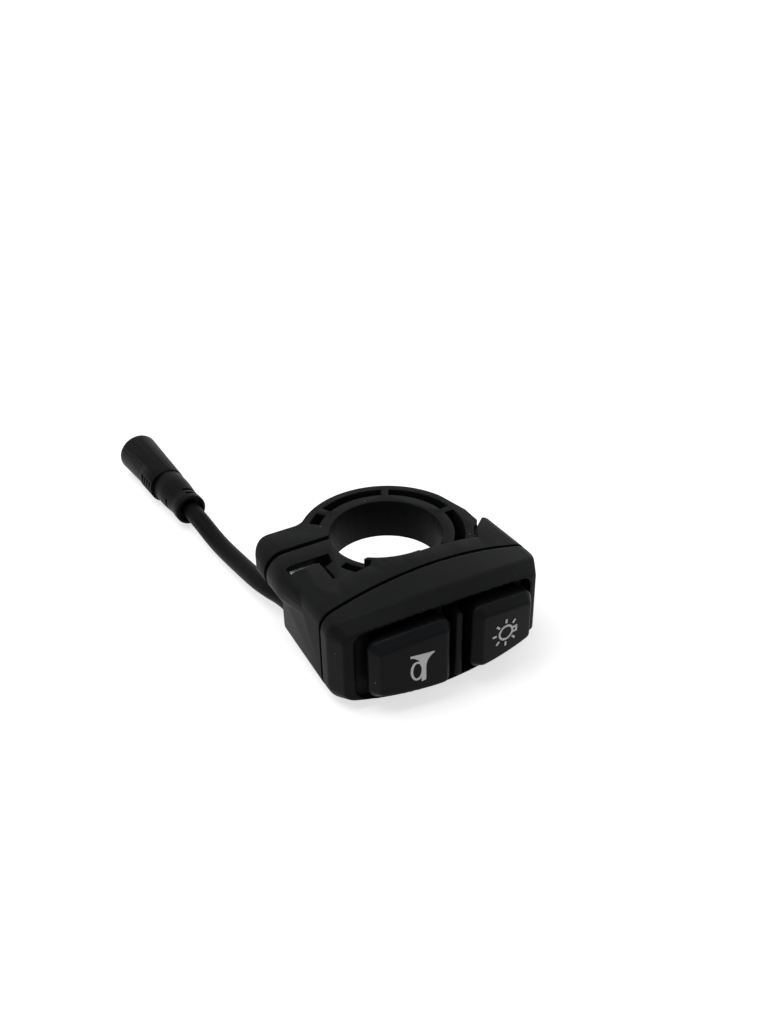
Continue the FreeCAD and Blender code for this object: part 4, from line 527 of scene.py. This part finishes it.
# Plug
# A round waterproof plug, moulded over the lead's end: a slotted strain relief behind a ring, and a
# body with a ribbed grip. In its mouth three brass pins stand in a black insert.
PLUG_EDGE, FLEX_EDGE = 0.25 * MM, 0.12 * MM
PIN_COUNT, PIN_SIDES, PIN_FOOT, TIP_SHARE = 3, 28, 25.7 * MM, 0.998
plug_rubber = moulded("plug_rubber", (0.0020, 0.0020, 0.0024), (0.0034, 0.0034, 0.0038),
                      rough=0.42, specular=0.05, grain_size=0.3 * MM, depth=0.012 * MM)
insert_plastic = moulded("insert_plastic", (0.012, 0.012, 0.012), (0.018, 0.018, 0.018),
                         rough=0.5, specular=0.3, grain_size=0.2 * MM, depth=0.01 * MM)
plug_pieces = [
    dressed("plug_relief", "plug_strain_relief", "housing", plug_rubber, FLEX_EDGE),
    dressed("plug_body", "plug_grip", "housing", plug_rubber, PLUG_EDGE),
    dressed("plug_insert", "plug_pin_holder", "housing", insert_plastic, SMALL_EDGE)]
contact_brass = brushed("contact_brass", (0.62, 0.43, 0.16), (0.74, 0.54, 0.22),
                        rough=0.22, grain_size=0.1 * MM)
pin_sizes = {"Circle Radius": 1.8 * MM, "Pin Radius": 0.5 * MM, "Pin Length": 4.5 * MM,
             "Place": PLUG_MOUTH + PLUG_AXIS * PIN_FOOT,
             "Turn": Vector(Vector((0, 0, 1)).rotation_difference(PLUG_AXIS).to_euler())}
pin_tree, given = grouped("contact_pins", pin_sizes)
ring = node(pin_tree, "GeometryNodeMeshCircle",
            {"Vertices": PIN_COUNT, "Radius": given["Circle Radius"]}).outputs[0]
ring = node(pin_tree, "GeometryNodeTransform",
            {"Geometry": ring, "Rotation": (0, 0, QUARTER_TURN)}).outputs[0]
shaft_length = reckoned(pin_tree, "SUBTRACT", given["Pin Length"], given["Pin Radius"])
shaft = node(pin_tree, "GeometryNodeMeshCone", {
    "Vertices": PIN_SIDES, "Radius Top": given["Pin Radius"], "Radius Bottom": given["Pin Radius"],
    "Depth": shaft_length}).outputs[0]
tip_radius = reckoned(pin_tree, "MULTIPLY", given["Pin Radius"], TIP_SHARE)
tip = node(pin_tree, "GeometryNodeMeshUVSphere",
           {"Segments": PIN_SIDES, "Rings": PIN_SIDES // 2, "Radius": tip_radius}).outputs[0]
tip_place = node(pin_tree, "ShaderNodeCombineXYZ", {"Z": shaft_length}).outputs[0]
tip = node(pin_tree, "GeometryNodeTransform", {"Geometry": tip, "Translation": tip_place}).outputs[0]
pin = node(pin_tree, "GeometryNodeJoinGeometry")
for part in (shaft, tip):
    pin_tree.links.new(part, pin.inputs[0])
pins = node(pin_tree, "GeometryNodeInstanceOnPoints",
            {"Points": ring, "Instance": pin.outputs[0]}).outputs[0]
pins = node(pin_tree, "GeometryNodeTransform", {
    "Geometry": pins, "Translation": given["Place"], "Rotation": given["Turn"]}).outputs[0]
closed(pin_tree, pins, contact_brass)
plug_pieces.append(grown("plug_pins", pin_tree, pin_sizes, "housing",
                         ["plug_contact_1", "plug_contact_2", "plug_contact_3"]))

# Studio
# A white floor under the switch's belly that keeps its soft shadow, a white surround, and two large
# soft lamps, above and to the left and to the right.
FLOOR_HEIGHT, FLOOR_SIZE, FLOOR_GREY = -14.7 * MM, 4.0, 0.8
GLOW_NEAR, GLOW_FAR = 0.68, 1.0
NEAR, FAR = 80 * MM, 350 * MM
SKY_STRENGTH = 0.15
bpy.ops.mesh.primitive_plane_add(size=FLOOR_SIZE, location=(0, 0, FLOOR_HEIGHT))
floor = bpy.context.object
floor.name = "studio_floor"
floor_paint, tree, shader = material("floor_paint")
shader.inputs["Base Color"].default_value = (FLOOR_GREY, FLOOR_GREY, FLOOR_GREY, 1)
shader.inputs["Roughness"].default_value = 0.9
shader.inputs["Specular IOR Level"].default_value = 0.0


def seen_directly(tree):
    """Whether a ray comes from the camera, or by way of gloss or glass."""
    path = node(tree, "ShaderNodeLightPath").outputs
    by_gloss = reckoned(tree, "MAXIMUM", path["Is Camera Ray"], path["Is Glossy Ray"])
    return reckoned(tree, "MAXIMUM", by_gloss, path["Is Transmission Ray"])


place = node(tree, "ShaderNodeTexCoord").outputs["Object"]
away = node(tree, "ShaderNodeVectorMath", {0: place}, operation="LENGTH").outputs["Value"]
strength = spread(tree, away, GLOW_NEAR, GLOW_FAR, NEAR, FAR)
glow = node(tree, "ShaderNodeEmission", {"Color": (1, 1, 1, 1), "Strength": strength}).outputs[0]
both = node(tree, "ShaderNodeAddShader", {0: shader.outputs[0], 1: glow}).outputs[0]
paint = node(tree, "ShaderNodeMixShader",
             {0: seen_directly(tree), 1: shader.outputs[0], 2: both}).outputs[0]
tree.links.new(paint, tree.nodes["Material Output"].inputs["Surface"])
floor.data.materials.append(floor_paint)

world = bpy.data.worlds.new("studio")
world.use_nodes = True
bpy.context.scene.world = world
tree = world.node_tree
sky = node(tree, "ShaderNodeBackground", {"Color": (1, 1, 1, 1), "Strength": SKY_STRENGTH}).outputs[0]
white = node(tree, "ShaderNodeBackground", {"Color": (1, 1, 1, 1), "Strength": 1.0}).outputs[0]
choice = node(tree, "ShaderNodeMixShader", {0: seen_directly(tree), 1: sky, 2: white}).outputs[0]
tree.links.new(choice, tree.nodes["World Output"].inputs["Surface"])


def lamp(name, place, power, size):
    """A square soft lamp that faces the switch."""
    light = bpy.data.lights.new(name, "AREA")
    light.energy = power
    light.size = size
    holder = bpy.data.objects.new(name, light)
    holder.location = place
    holder.rotation_euler = Vector(place).to_track_quat("Z", "Y").to_euler()
    bpy.context.scene.collection.objects.link(holder)


lamp("key_light", (-0.22, 0.12, 0.65), power=2.3, size=0.5)
lamp("fill_light", (0.4, -0.05, 0.6), power=0.7, size=0.6)
bpy.context.scene.view_settings.view_transform = "Standard"
